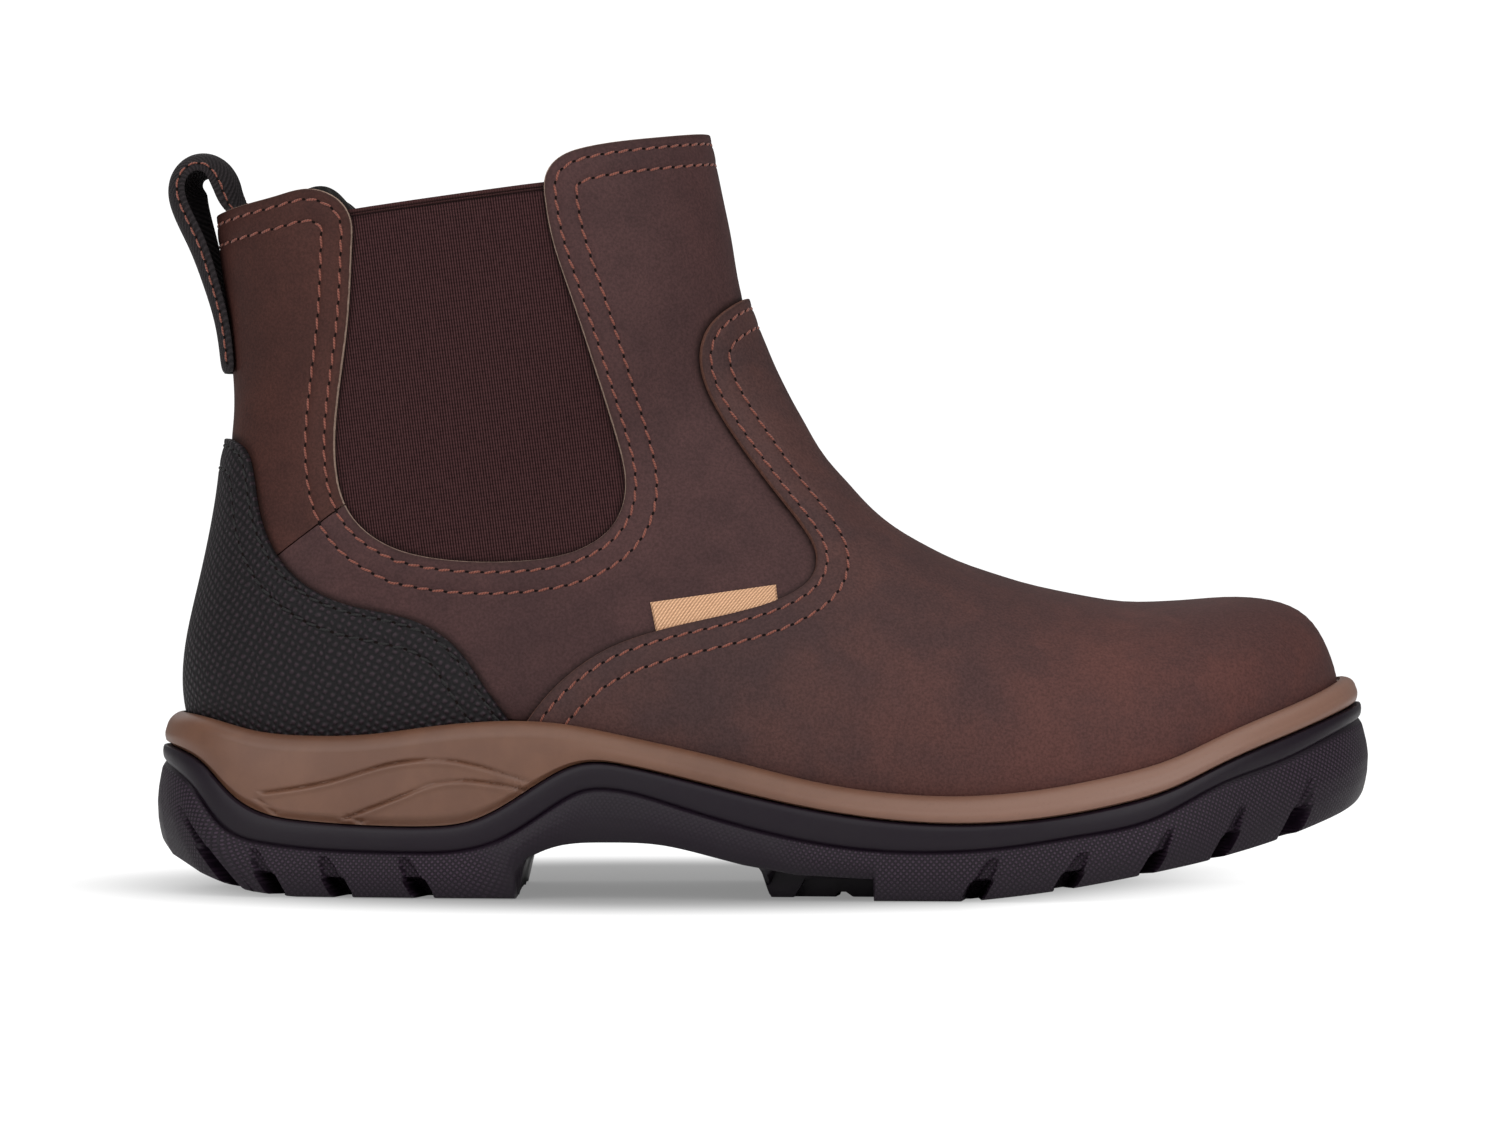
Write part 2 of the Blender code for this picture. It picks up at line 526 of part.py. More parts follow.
for x in SLOTS:
    ahead = np.array([x - SLOT_WIDTH / 2, x + SLOT_WIDTH / 2])
    roof = np.interp(ahead, line[:, 0], line[:, 1]) + CHANNEL_DEPTH
    slot = np.column_stack([np.concatenate([ahead, ahead[::-1]]), np.concatenate([roof, roof[::-1] + BELOW])])
    lateral_in = np.interp(x, lateral_edge[:, 0], lateral_edge[:, 1]) + LUG_DEPTH
    medial_in = np.interp(x, medial_edge[:, 0], medial_edge[:, 1]) - LUG_DEPTH
    slots.append((slot, lateral_in, medial_in))
cut(outsole, prisms("cross slots", slots))

# Middle of the bounding box over the origin
spread = reach_out(loop, OUTSOLE_WALL[:, 2].max())
middle = (spread.min(axis=0) + spread.max(axis=0)) / 2
boot.location = (-middle[0] * MM, -middle[1] * MM, 0)

# Pull loop: webbing carried along its middle line, its edges bent into the loop and round the heel
along = np.concatenate([[0], np.cumsum(np.linalg.norm(np.diff(PULL_LOOP[:, :2], axis=0), axis=1))])
path = spline(along, PULL_LOOP, np.linspace(0, along[-1], LOOP_STEPS))
run = np.gradient(path[:, :2], axis=0)
run /= np.linalg.norm(run, axis=1, keepdims=True)
width = np.linspace(-1, 1, LOOP_ACROSS)
layers = []
for face_side in (1, -1):
    out = face_side * LOOP_THICK / 2 - path[:, 2:] * width ** 2
    x = path[:, :1] - run[:, 1:] * out
    z = path[:, 1:2] + run[:, :1] * out
    y = np.repeat(width[None] * LOOP_WIDTH / 2, len(path), axis=0)
    layers.append(np.stack([x, y, z], axis=-1))
ring = np.concatenate([layers[0], layers[1][:, ::-1]], axis=1)
corners = ring.shape[1]
faces = [tuple(range(corners)), tuple(range(len(ring) * corners - 1, (len(ring) - 1) * corners - 1, -1))]
for row in range(len(ring) - 1):
    for step in range(corners):
        near = row * corners + step
        beside = row * corners + (step + 1) % corners
        faces.append((near, beside, beside + corners, near + corners))
pull_loop = make_object("pull_loop", ring.reshape(-1, 3), faces)

# Colours: linear red, green, blue, and roughness
paint(upper, (0.060, 0.030, 0.022), 0.62)
paint(vamp, (0.062, 0.030, 0.022), 0.60)
paint(counter, (0.012, 0.011, 0.011), 0.80)
for gore in gores:
    paint(gore, (0.030, 0.020, 0.017), 0.85)
paint(insole, (0.045, 0.040, 0.036), 0.90)
paint(midsole, (0.150, 0.098, 0.067), 0.60)
paint(outsole, (0.011, 0.011, 0.011), 0.70)
paint(pull_loop, (0.012, 0.011, 0.011), 0.85)
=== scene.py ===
"""Looks of a pull-on work boot for the right foot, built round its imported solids.

Every panel of the upper is a patch of one surface, the last: u counts its sections from the toe, round the
heel and up the shaft, and turn runs round a section from the ridge (0) down the lateral side to the base or
the back (pi). A row is a line of u, turn pairs on that surface. Sizes are millimetres in the boot's own frame
until a mesh is made: toe +X, lateral side -Y, up +Z.
"""
import math
import bmesh
import bpy
import numpy as np
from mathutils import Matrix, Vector


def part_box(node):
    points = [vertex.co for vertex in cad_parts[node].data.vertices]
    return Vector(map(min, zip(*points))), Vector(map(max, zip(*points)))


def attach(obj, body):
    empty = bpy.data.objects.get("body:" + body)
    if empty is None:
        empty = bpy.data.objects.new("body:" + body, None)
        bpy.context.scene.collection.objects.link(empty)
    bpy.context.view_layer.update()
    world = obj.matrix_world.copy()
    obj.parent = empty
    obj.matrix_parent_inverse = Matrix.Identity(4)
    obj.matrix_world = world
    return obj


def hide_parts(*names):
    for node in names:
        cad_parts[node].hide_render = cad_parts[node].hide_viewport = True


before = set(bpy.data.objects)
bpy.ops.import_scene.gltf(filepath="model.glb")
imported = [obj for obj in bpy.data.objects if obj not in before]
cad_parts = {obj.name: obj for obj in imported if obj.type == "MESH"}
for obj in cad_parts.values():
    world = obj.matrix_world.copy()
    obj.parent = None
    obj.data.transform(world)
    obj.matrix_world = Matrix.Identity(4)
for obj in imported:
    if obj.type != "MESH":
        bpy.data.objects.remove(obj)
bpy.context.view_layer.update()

MM = 0.001
HALVINGS = 40           # steps of a search by halving

# Thicknesses and places across the wall, out from the last's surface
LEATHER_INSIDE = -1.1
LINING_OUTSIDE = -1.85
LINING_INSIDE = -2.6
GORE_SUNK = -1.2        # elastic where it passes under the leather
GORE_SWELL = 0.55       # how far it rises again inside the window
GORE_BACK = -1.8
GORE_TUCK = 4.0         # how far it reaches under the leather
GORE_FOLD = 2.3         # depth of its folded top
GORE_SEAMS = ((1.35, 0.5, 0.18), (2.1, 0.35, 0.2))  # seams of the fold: drop, depth, width of dark
SEAM_WIDTH = 0.16
FOLD_LIFT = 0.4         # how far the folded top stands out
FOLD_ROUND = 0.4        # rounding of its upper edge
PAINTED_RIM_SHADE, PAINTED_RIM_SHADE_WIDTH = 0.7, 0.8 # painted shade along the window's edge
BED = 0.25              # underside of the overlays
VAMP_FACE = 2.0
COUNTER_FACE = 2.3
SKIVE = 0.55            # how much thinner an overlay is at its cut edge
SKIVE_WIDTH = 9.0
EDGE_ROUND = 0.45       # rounding of a cut edge
PRESS_DEPTH = 0.12      # how far the edge of a piece on top sinks into a panel
# width of that dent, and of the painted contact shade along the edge of the piece on top
PRESS_WIDTH = 0.9
PUFF_DEPTH = 0.14       # swell of the leather between two rows of stitches
PUFF_WIDTH = 1.7
FIT = 0.3               # gap between the layers of the sole
SEAM_HALF = 0.19        # half the slit between back panel and quarters
SEAM_END = -94.0        # x past which the slit is out of the quarters' way
FEATHER_GAP = 0.1       # how far the panels end above the feather line
RAW_FACE = -2.0         # edge value of a panel's inner face, raw all over
FAR_IN = 40.0           # edge value added past the border rows
TAB_BACK = 0.08
TAB_LENGTH, TAB_WIDTH = 31.0, 9.8

# The last: its first and top section, and about how many millimetres a section and a radian span
FIRST_U = 0.02
TOP_U = 20.99
SURFACE_SCALE = np.array([16.0, 42.0])
HEEL_CENTRE = -105.0    # x of the middle of the heel's round in plan
HEEL_RADIUS = 35.0
SOLE_WALL = 7.0         # how far the sole's wall stands out from the feather line
SOLE_REACH = 8.3        # and where it stands out most
CREASE_RIM = 0.4        # rim beside a crease, in depths of the crease
CREASE_RIM_AT = 1.6     # its distance, in half widths of the crease
CREASE_FADE = 0.8       # how much of a crease's depth is lost at its end
NEAR_SHARE, NEAR_SLACK = 0.95, 0.3  # a row keeps this share of its distance from the edge, less the slack
SETTLE_RATE = 0.9       # how much of its way a point goes in one pass
TINY = 1e-6             # keeps spacings above zero

# Sewing; STRIP has the rows of the mesh that follow a cut edge, by distance from it
STITCH_ROWS = (2.6, 7.8)            # distance of the two rows from the cut edge
COUNTER_ROWS = (1.8, 7.45)
STITCH_PITCH = 3.7
BACK_PITCH = 3.95
STITCH_GAP = 0.04                   # share of the pitch left free at each end of a stitch
STITCH_SLANT = 0.6
STITCH_RISE, STITCH_SUNK = 0.95, 0.75   # arch of a stitch and depth of its ends, in thread radii
THREAD = 0.33                       # thread radius
COUNTER_THREAD = 0.36
LOOP_PITCH, LOOP_THREAD, LOOP_SLANT = 3.2, 0.26, 0.2
HOLE_SIZE = 1.5                     # needle hole, in thread radii
HOLE_FORM = ((0.0, -0.5), (1.0, -0.35), (1.0, 0.05), (0.7, 0.08), (0.0, 0.03))      # its radius and height
GROOVE_DEPTH = 0.26
GROOVE_WIDTH = 0.55
STRIP = (0, 0.1, 0.28, 0.55, 0.95, 1.4, 1.8, 2.2, 2.6, 3.0, 3.5, 4.4, 5.6, 6.6, 7.1, 7.45, 7.8, 8.15, 8.6)

# Steps of the meshes: along a cut edge, along the feather line, round the outline, along one side of it
EDGE_STEPS = 420
FEATHER_STEPS = 500
OUTLINE_STEPS = 700
SIDE_STEPS = 900
STITCH_RINGS = 8
STITCH_AROUND = 8
GORE_STEPS = 800
GORE_ACROSS = 71
LINING_STEPS = 240
LINING_DOWN = 81
MIDSOLE_STEPS = 860
OUTSOLE_STEPS = 240
INSOLE_STEPS = 360
LOOP_STEPS = 130
LOOP_AROUND = 44
TAB_DOWN, TAB_ALONG = 16, 60

# Sections of the last, toe to above the collar
LAST = np.array([
    [142.3, 50, 142.3, 50, 6.5, 0, 0, 0.46, -0.55],
    [140.8, 57, 140.8, 43, 6.5, 13, 12.2, 0.46, -0.55],
    [136, 65.9, 136, 34, 6, 23, 21, 0.46, -0.55],
    [127, 70.3, 127, 26, 5.2, 32.2, 29, 0.46, -0.55],
    [114, 70.9, 114, 20, 4, 40.6, 35.8, 0.45, -0.55],
    [98, 69.8, 98, 15, 2.2, 47, 41.8, 0.42, -0.45],
    [80, 71.6, 80, 12, 0.2, 50.2, 46.2, 0.38, -0.25],
    [60.4, 76, 58, 11, -1.8, 50.6, 47.8, 0.35, 0],
    [43, 82.5, 36, 12, -3, 49, 46.4, 0.33, 0.25],
    [29.6, 91, 10, 15, -3.3, 45.8, 43.2, 0.31, 0.42],
    [18.6, 101.6, -25, 22, -2.8, 42, 39.4, 0.30, 0.45],
    [10.2, 113.4, -70, 29, -1.9, 38.6, 36.6, 0.30, 0.36],
    [4.6, 123.6, -118, 28, -1, 36.2, 35.2, 0.32, 0.22],
    [1.2, 130.6, -138.8, 38, -0.4, 35.2, 34.7, 0.35, 0.10],
    [-1, 135.8, -142.2, 56, -0.1, 34.9, 34.6, 0.385, 0],
    [-2.6, 140.2, -138.7, 75, 0, 34.8, 34.5, 0.42, -0.08],
    [-4.1, 146, -134.6, 95, 0, 34.6, 34.3, 0.455, -0.15],
    [-5.6, 152.4, -132.3, 115, 0, 34.3, 34, 0.48, -0.20],
    [-7.4, 161.4, -132.4, 134, 0, 33.9, 33.6, 0.495, -0.23],
    [-10, 174.5, -134.7, 153, 0, 33.5, 33.2, 0.50, -0.25],
    [-13.2, 190, -136.5, 171, 0, 33.1, 32.8, 0.50, -0.25],
    [-16, 203, -138.2, 184, 0, 32.7, 32.4, 0.50, -0.25],
])
RIDGE_X, RIDGE_Z, BASE_X, BASE_Z, SWING, LATERAL, MEDIAL, BELLY, STEEP = range(9)

# Side-view lines: x, z
FEATHER = np.array([
    [-165, 44], [-150, 44.4], [-138, 43.4], [-125, 40.2], [-112, 39], [-96, 39.4], [-81, 41.3], [-66, 42.6],
    [-50, 42.2], [-34, 39.3], [-10, 33.9], [14, 28], [32, 25.5], [48, 24.9], [66, 26.3], [87, 30.2],
    [99, 33.6], [111, 38.8], [124, 44], [136, 48.6], [150, 54.8], [165, 61],
])
MIDSOLE_LOW = np.array([
    [-165, 38.5], [-150, 37], [-143.5, 35.4], [-137, 31.8], [-131, 25.6], [-124, 21], [-112, 18.5],
    [-97, 17.5], [-82, 17.3], [-71, 18.7], [-63, 22.4], [-53, 28.8], [-46, 32.3], [-40, 33.2], [-33, 32.3],
    [-16, 28.4], [8, 22.8], [32, 19.2], [48, 18.5], [62, 19.2], [75, 20.9], [87, 23.3], [99, 26.8],
    [111, 32.3], [123, 37.2], [135, 41.6], [150, 47.3], [165, 53],
])
RAND_GROOVE = np.array([
    [-165, 40], [-150, 33.2], [-144.3, 29.9], [-139.7, 26], [-134.1, 18.6], [-129, 14.9], [-120.8, 12.9],
    [-109.4, 11.7], [-86.8, 11], [-73.3, 11.6], [-64.5, 14], [-57.7, 17.7], [-50.9, 22.3], [-44.1, 26],
    [-40, 26.7], [-34.4, 26.3], [-20.8, 22.6], [0.5, 16.5], [21.8, 12.6], [41.5, 11.8], [59.9, 13.1],
    [77.1, 15.8], [95.3, 20], [110.6, 27.6], [125.9, 32.9], [144.3, 41], [165, 49],
])
HEEL_UNDER = np.array([
    [-158, 38], [-152, 21], [-147.8, 12.8], [-143.4, 8.6], [-136.8, 5.1], [-126, 1.5], [-114, 0],
    [-59.6, 0],
])
ARCH_UNDER = np.array([[-57.4, 9.6], [-51, 12.4], [-38, 13.7], [-25, 13.2], [-13, 10.6], [-0.5, 7.4]])
FORE_UNDER = np.array([
    [2, 0], [50, 0], [70, 2.4], [92, 6.2], [110, 9.8], [126, 14.2], [138, 18.4], [143.5, 20.8],
    [147.6, 23.8], [151, 29], [160, 46],
])
WAIST_RECESS = np.array([[-6, 8.7], [8, 6.2], [26.5, 5.2]])
GORE_EDGE = np.array([
    [-100.7, 160], [-101.8, 141], [-104.2, 122], [-104.6, 105], [-101.5, 94.6], [-93, 86.6], [-78, 82.4],
    [-60, 82], [-45, 84.8], [-36.4, 91], [-33.4, 100], [-35.4, 112], [-41, 130], [-47, 148], [-51.8, 163.5],
])
GORE_TOP = np.array([[-104, 168.1], [-50, 175.5]])
COLLAR_BACK = np.array([
    [-101.2, 166.6], [-103.2, 169.8], [-106.6, 172.2], [-111.6, 173.4], [-119.7, 171.9], [-127, 170.3],
    [-134.5, 168.5], [-146, 165.6],
])
COLLAR_FRONT = np.array([
    [-53, 171], [-53.1, 175.6], [-51.2, 179.5], [-48, 181.9], [-43, 183.6], [-25, 186.6], [-12, 188.6],
    [4, 191],
])
VAMP_EDGE = np.array([
    [-63, 34], [-58, 42], [-52.5, 49], [-46, 55], [-38, 60.2], [-30, 63.4], [-18, 66.6], [-3, 70],
    [7.6, 74], [12.3, 78.2], [13.2, 83], [10.6, 89], [4.8, 96.7], [-2.6, 106.4], [-9.4, 116.3],
    [-14.2, 125.6], [-15.5, 132.4], [-13.6, 139.4], [-9.6, 143.8], [-3.4, 147.9], [5, 152.6],
])
COUNTER_EDGE = np.array([
    [-56, 35], [-61.8, 43.4], [-67.6, 51.4], [-72.6, 58.6], [-78.2, 63.8], [-86.5, 67.8], [-97, 70.2],
    [-107, 73.4], [-114.5, 78.4], [-119.8, 85], [-123.3, 93.5], [-125.3, 104], [-127.6, 109.8],
    [-132, 112.4], [-142, 114],
])
# Slanting seam between the back panel and the quarters, drawn on under the heel counter: x, z
SLANT_SEAM = np.array([[-127, 77.55], [-104.6, 94]])
# Hidden edges: of the quarters under counter and vamp, of the back panel under the counter
QUARTER_HIDDEN = np.array([
    [-126.4, 77], [-117, 63], [-101, 51], [-84, 45.2], [-70, 43.4], [-58, 43.2], [-46, 42.6], [-35, 46.5],
    [-22, 53], [-4, 58.5], [13, 65.5], [22, 77], [22, 90], [16, 101], [8.5, 112], [3.6, 123], [1, 132],
    [3, 140],
])
# Places that face each other on a panel's border rows and its far edge: x, z and x, z
QUARTER_PAIRS = np.array([
    [-84, 70.5, -84, 45.2], [-66, 69, -66, 43.3], [-45, 71.5, -40, 44.5], [-29, 79, -8, 57.4],
    [-21, 95, 18, 70], [-22, 112, 21.5, 91], [-30, 138, 14, 104], [-38, 161, 7, 115], [-39, 170, 4, 122],
    [-22, 173.5, 2, 128],
])
VAMP_PAIRS = np.array([
    [-28.4, 54.8, -19.4, 36.2], [-5.8, 60.5, 18, 27.3], [10.4, 66.5, 42, 25.1], [17, 70, 58, 25.5],
    [20.8, 76.3, 77, 28.2], [21.6, 81.5, 90, 31], [19, 88.7, 106, 36.7], [13.6, 96.1, 119, 42.2],
    [6.4, 105.1, 128, 45.6], [0.2, 114.6, 134.5, 48.1], [-5.5, 124.4, 139, 50], [-7, 131.6, 141.2, 51],
])
BACK_PAIRS = np.array([
    [-110.2, 92.3, -116.8, 85.1], [-112, 100.8, -120, 82.8], [-112.2, 114.2, -125, 78.8],
    [-111.5, 123.2, -128.5, 77.3], [-110.5, 132.2, -131, 77.7], [-109.3, 145.7, -134, 78.9],
    [-109, 162.5, -136, 79.9], [-121.9, 162, -136.9, 80.4],
])
BACK_HIDDEN = np.array([[-127, 77.55], [-132, 78], [-137, 80.5], [-146, 86]])
LINING_TOP = np.array([
    [4, 189.4], [-12, 187], [-25, 185], [-43, 181.8], [-49, 178.6], [-54, 173], [-62, 170], [-95, 165.8],
    [-100.6, 168.2], [-104.2, 171.9], [-108.3, 174], [-112.4, 173.4], [-119.7, 170], [-134.5, 166.8],
    [-146, 164],
])
# Wave lines moulded into the midsole's wall: x, z
WAVE_UPPER = np.array([
    [-121.8, 25.4], [-115, 26.4], [-105.2, 28.4], [-93.1, 32], [-80.9, 33.7], [-71.1, 32.7], [-61.4, 29.8],
    [-54.1, 27.4],
])
WAVE_LOWER = np.array([
    [-101.6, 19.3], [-95.5, 21.8], [-88.2, 24.7], [-80.9, 27.6], [-74.8, 28.6], [-66.3, 28.1],
    [-55.3, 25.9],
])
WAVE_NICKS = np.array([[[-122.9, 23.5], [-119.2, 20.6]], [[-101.4, 20.1], [-97.7, 18.5]]])
# Side notches between the lugs: foot x, z and head x, z
NOTCHES = np.array([
    [-134, -2, -142.8, 20.5], [-117.6, -7, -124, 10.5], [-97.8, -7, -106.5, 9], [-75.2, -7, -86.5, 9],
    [46.9, -7, 55.5, 9.4], [67.8, -6, 77, 10.8], [90.1, -2, 98.6, 16.2], [107.7, 2, 116.4, 21.4],
    [124.3, 6, 133.4, 28],
])
NOTCH_WIDTH = np.array([0.36, 1, 1, 1, 1, 1, 1, 1, 1])
# Form of a notch from its head to its foot: share of its height, half width, depth
NOTCH_FORM = np.array([
    [0, 0.7, 0], [0.07, 1.1, 0.9], [0.22, 1.5, 1.6], [0.46, 1.8, 2.1], [0.52, 2, 2.4], [0.57, 2.3, 10],
    [0.85, 2.4, 12], [1, 2, 12],
])
SLOTS = np.array([-100, -80, 18, 36, 55, 76, 98])
SLOT_DEPTH = np.array([4.5, 4.5, 1.2, 4.5, 4.5, 4.5, 4.5])
SLOT_HALF = 1.8
CHANNEL_DEPTH = 4.5
# Lean of the lugs along the boot: x, slope
LEAN = np.array([
    [-147.8, 0], [-147.2, -0.58], [-146, -0.76], [-143.5, -0.72], [-138, -0.58], [-125, -0.45],
    [-70, -0.55], [-56, 0], [20, 0], [44, 0.52], [100, 0.50], [136, 0.52], [147, 0.15], [150.5, 0],
])
# How much further the sole reaches at the back of the heel and at the toe: x, midsole, rand, lugs
SWELL = np.array([
    [-150, 0.9, 1, 1.3], [-142, 0.8, 0.9, 1.2], [-120, 0, 0, 0], [124, 0, 0, 0], [142, 0.2, 0.7, 1.3],
    [150, 0.3, 0.8, 1.5],
])
# Middle line of the pull loop, outer end to inner end: x, z, and how far its near and far edges bend in
PULL_LOOP = np.array([
    [-133.9, 128.8, 2.5, 2.4], [-135.5, 141, 2.7, 2.6], [-138.6, 151.5, 3.1, 3.6], [-142.3, 161, 3.6, 5.4],
    [-145.7, 168.2, 3.6, 7], [-147.2, 174, 3.4, 7.4], [-146, 179, 3.2, 6.2], [-142.4, 182.2, 3.2, 5],
    [-138, 182.6, 3.6, 4.2], [-133.8, 180.2, 4.6, 3.2], [-131.2, 175.5, 4.8, 1.6],
    [-130.6, 172.4, 4.2, 0.2], [-130.2, 169, 2.2, -1.2], [-129.9, 165.6, -0.8, -1.9], [-129.6, 160, -2, -2],
    [-128.8, 151, -2, -2],
])
LOOP_WIDTH = 19.0
LOOP_THICK = 2.3
# Corners of the small woven tab on the lateral side: x, z
SIDE_TAB = np.array([[-27.2, 71.8], [3.4, 76.1], [4.3, 68.3], [-25.2, 62]])
# Soft creases: x, z of both ends in side view, half width, depth
CREASES = np.array([
    [86, 72, 74, 44, 9, 0.35], [70, 75, 60, 48, 8, 0.25], [30, 92, 12, 62, 8, 0.30],
    [14, 108, -2, 88, 6, 0.25], [-4, 150, -30, 138, 9, 0.30], [-130, 120, -108, 126, 8, 0.30],
    [-60, 72, -90, 76, 5, 0.20],
])
# Top and bead of the midsole, inner edge outwards and down: drop below the feather line, reach from it
BEAD = np.array([[0.2, 0.5], [0.2, 2.4], [-0.5, 2.4], [-0.45, 2.8], [-0.2, 3.5], [0.3, 4.3], [0.9, 5],
                 [1.7, 5.65], [2.6, 6.1], [3.3, 6.3]])
WALL_RINGS = 73
# Rand from the midsole to its groove, and lugs from the groove to the ground: share of the height, reach
BAND = np.array([[0, 1], [0, 5.4], [0.03, 6.3], [0.10, 6.85], [0.25, 7.1], [0.5, 7.2], [0.75, 7.1],
                 [0.87, 6.95], [0.94, 6.7], [1, 6.25]])
LUG_WALL = np.array([[0.03, 6.7], [0.08, 7.3], [0.16, 7.6], [0.32, 8], [0.5, 8.2], [0.7, 8], [0.85, 7.5],
                     [0.94, 7], [0.985, 6.5], [1, 5.7]])
LUG_SHARE = np.array([0.03, 0.06, 0.09, 0.13, 0.17, 0.21, 0.26, 0.31, 0.36, 0.41, 0.45, 0.49, 0.53, 0.57,
                      0.61, 0.65, 0.70, 0.76, 0.82, 0.88, 0.93, 0.965, 0.985, 1])
# Rings of the tread by reach, and the two reaches that the channel lies between
TREAD = np.array([3.5, 0, -4, -7.3, -7.9, -8, -8.4, -11.6, -12, -12.1, -12.7, -17, -22])
CHANNEL = (-8.3, -11.7)
# Columns of the outsole's mesh: off a notch's middle, off a slot's middle, and x of the underside's steps
NOTCH_COLUMNS = np.array([-2.9, -2.4, -2, -1.6, -1.2, -0.8, -0.4, 0, 0.4, 0.8, 1.2, 1.6, 2, 2.4, 2.9])
SLOT_COLUMNS = np.array([-2.2, -1.8, 1.8, 2.2])
EDGE_COLUMNS = np.array([-60.2, -59.6, -57.4, -56.8, -1.2, -0.5, 2, 2.7, -6.3, -5.9, 26.2, 26.6])
# Section of the insole, underside to top: reach from the feather line, height above it
INSOLE_RINGS = np.array([[-9, 0.35], [-3.5, 0.35], [-3.15, 0.9], [-3.1, 2.4], [-3.3, 3.6], [-4.2, 4.2],
                         [-6.5, 4.3], [-10, 4], [-15, 3.5], [-21, 3.2]])


# Lines and the last

def spline(knots, values, at):
    """Natural cubic spline: values (one row for each knot) read at the given places."""
    gap = np.diff(knots)
    rise = np.diff(values, axis=0) / gap[:, None]
    system = np.eye(len(knots))
    right = np.zeros(values.shape)
    inner = np.arange(1, len(knots) - 1)
    system[inner, inner - 1] = gap[:-1]
    system[inner, inner] = 2 * (gap[:-1] + gap[1:])
    system[inner, inner + 1] = gap[1:]
    right[1:-1] = 6 * np.diff(rise, axis=0)
    bend = np.linalg.solve(system, right)
    place = np.clip(np.searchsorted(knots, at) - 1, 0, len(gap) - 1)
    span = gap[place][..., None]
    after = (at - knots[place])[..., None] / span
    before = 1 - after
    curve = (before ** 3 - before) * bend[place] + (after ** 3 - after) * bend[place + 1]
    return before * values[place] + after * values[place + 1] + curve * span ** 2 / 6


def height(line, x):
    """Height of a side-view line at the given x."""
    return spline(line[:, 0], line[:, 1:], np.asarray(x, float))[..., 0]


def table_at(table, x, column=1):
    """Column of a table read at the given values of its first column, straight between its rows."""
    return np.interp(x, table[:, 0], table[:, column])


def lengths(path):
    """Length along a path up to each of its points."""
    return np.concatenate([[0], np.cumsum(np.linalg.norm(np.diff(path, axis=0), axis=1))])


def read_at(places, along, columns):
    """Columns of values, one row for each length in along, read at the given places."""
    return np.stack([np.interp(places, along, column) for column in columns.T], axis=-1)


def smooth_line(points, step=0.3):
    """Curve through the points, with about one point for each step of length."""
    along = lengths(points)
    return spline(along, points, np.linspace(0, along[-1], max(int(along[-1] / step), 2) + 1))


def smooth_step(value, start, end):
    """0 before start, 1 after end, easing in between."""
    share = np.clip((value - start) / (end - start), 0, 1)
    return share * share * (3 - 2 * share)


def bell(value, width):
    """Bell curve: 1 at 0, falling off over the width on both sides."""
    return np.exp(-(value / width) ** 2)


def unit(vectors):
    """Vectors made one long."""
    return vectors / np.linalg.norm(vectors, axis=-1, keepdims=True)


def halve(low, high, past):
    """Places between low and high where past, a function of the places, turns true: found by halving."""
    for halving in range(HALVINGS):
        middle = (low + high) / 2
        found = past(middle)
        low, high = np.where(found, low, middle), np.where(found, middle, high)
    return (low + high) / 2


def last_rows(u):
    """Columns of the table at section number u; past the toe ridge and base swap, to round it."""
    ahead = LAST[2:0:-1].copy()
    ahead[:, [RIDGE_X, RIDGE_Z, BASE_X, BASE_Z]] = ahead[:, [BASE_X, BASE_Z, RIDGE_X, RIDGE_Z]]
    ahead[:, [LATERAL, MEDIAL]] *= -1
    return spline(np.arange(-2.0, len(LAST)), np.concatenate([ahead, LAST]), np.asarray(u, float))


def last_point(u, turn):
    """Point of the last: above and below its widest place a section is an ellipse made steeper or fuller, and
    the base half takes the steepness that keeps the curvature even there."""
    row = last_rows(u)
    lift = np.cos(turn)
    away = np.abs(lift)
    belly = row[..., BELLY]
    steep = np.where(lift > 0, row[..., STEEP], (1 + row[..., STEEP]) * (belly / (1 - belly)) ** 2 - 1)
    share = np.where(lift > 0, belly + (1 - belly) * lift, belly + belly * lift)
    out = np.sqrt(np.maximum(1 - away ** 2 * (1 + steep * (1 - away)), 0)) * np.sign(np.sin(turn))
    wide = np.where(np.sin(turn) > 0, row[..., LATERAL], row[..., MEDIAL])
    x = row[..., BASE_X] + share * (row[..., RIDGE_X] - row[..., BASE_X])
    z = row[..., BASE_Z] + share * (row[..., RIDGE_Z] - row[..., BASE_Z])
    return np.stack([x, row[..., SWING] - wide * out, z], axis=-1)


def surface(rows):
    """Points of the last at u, turn pairs."""
    return last_point(rows[..., 0], rows[..., 1])


def slopes(u, turn):
    """How fast the last's point moves with u and with turn, and the surface's outward normal."""
    small = 0.01
    with_u = (last_point(u + small, turn) - last_point(u - small, turn)) / (2 * small)
    with_turn = (last_point(u, turn + small) - last_point(u, turn - small)) / (2 * small)
    return with_u, with_turn, unit(np.cross(with_u, with_turn))


def skin(u, turn, offset):
    """Point of the last moved out along its normal."""
    return last_point(u, turn) + np.asarray(offset)[..., None] * slopes(u, turn)[2]


def sheets(grid, *offsets):
    """Surfaces of a grid of u, turn pairs at each of the offsets from the last."""
    return np.stack([skin(grid[..., 0], grid[..., 1], offset) for offset in offsets])


def mirrored(rows, middle):
    """Rows of u, turn pairs on the other side of the middle plane, whose turn is middle, running away from
    it."""
    return rows[:, -2::-1] * [1, -1] + [0, 2 * middle]


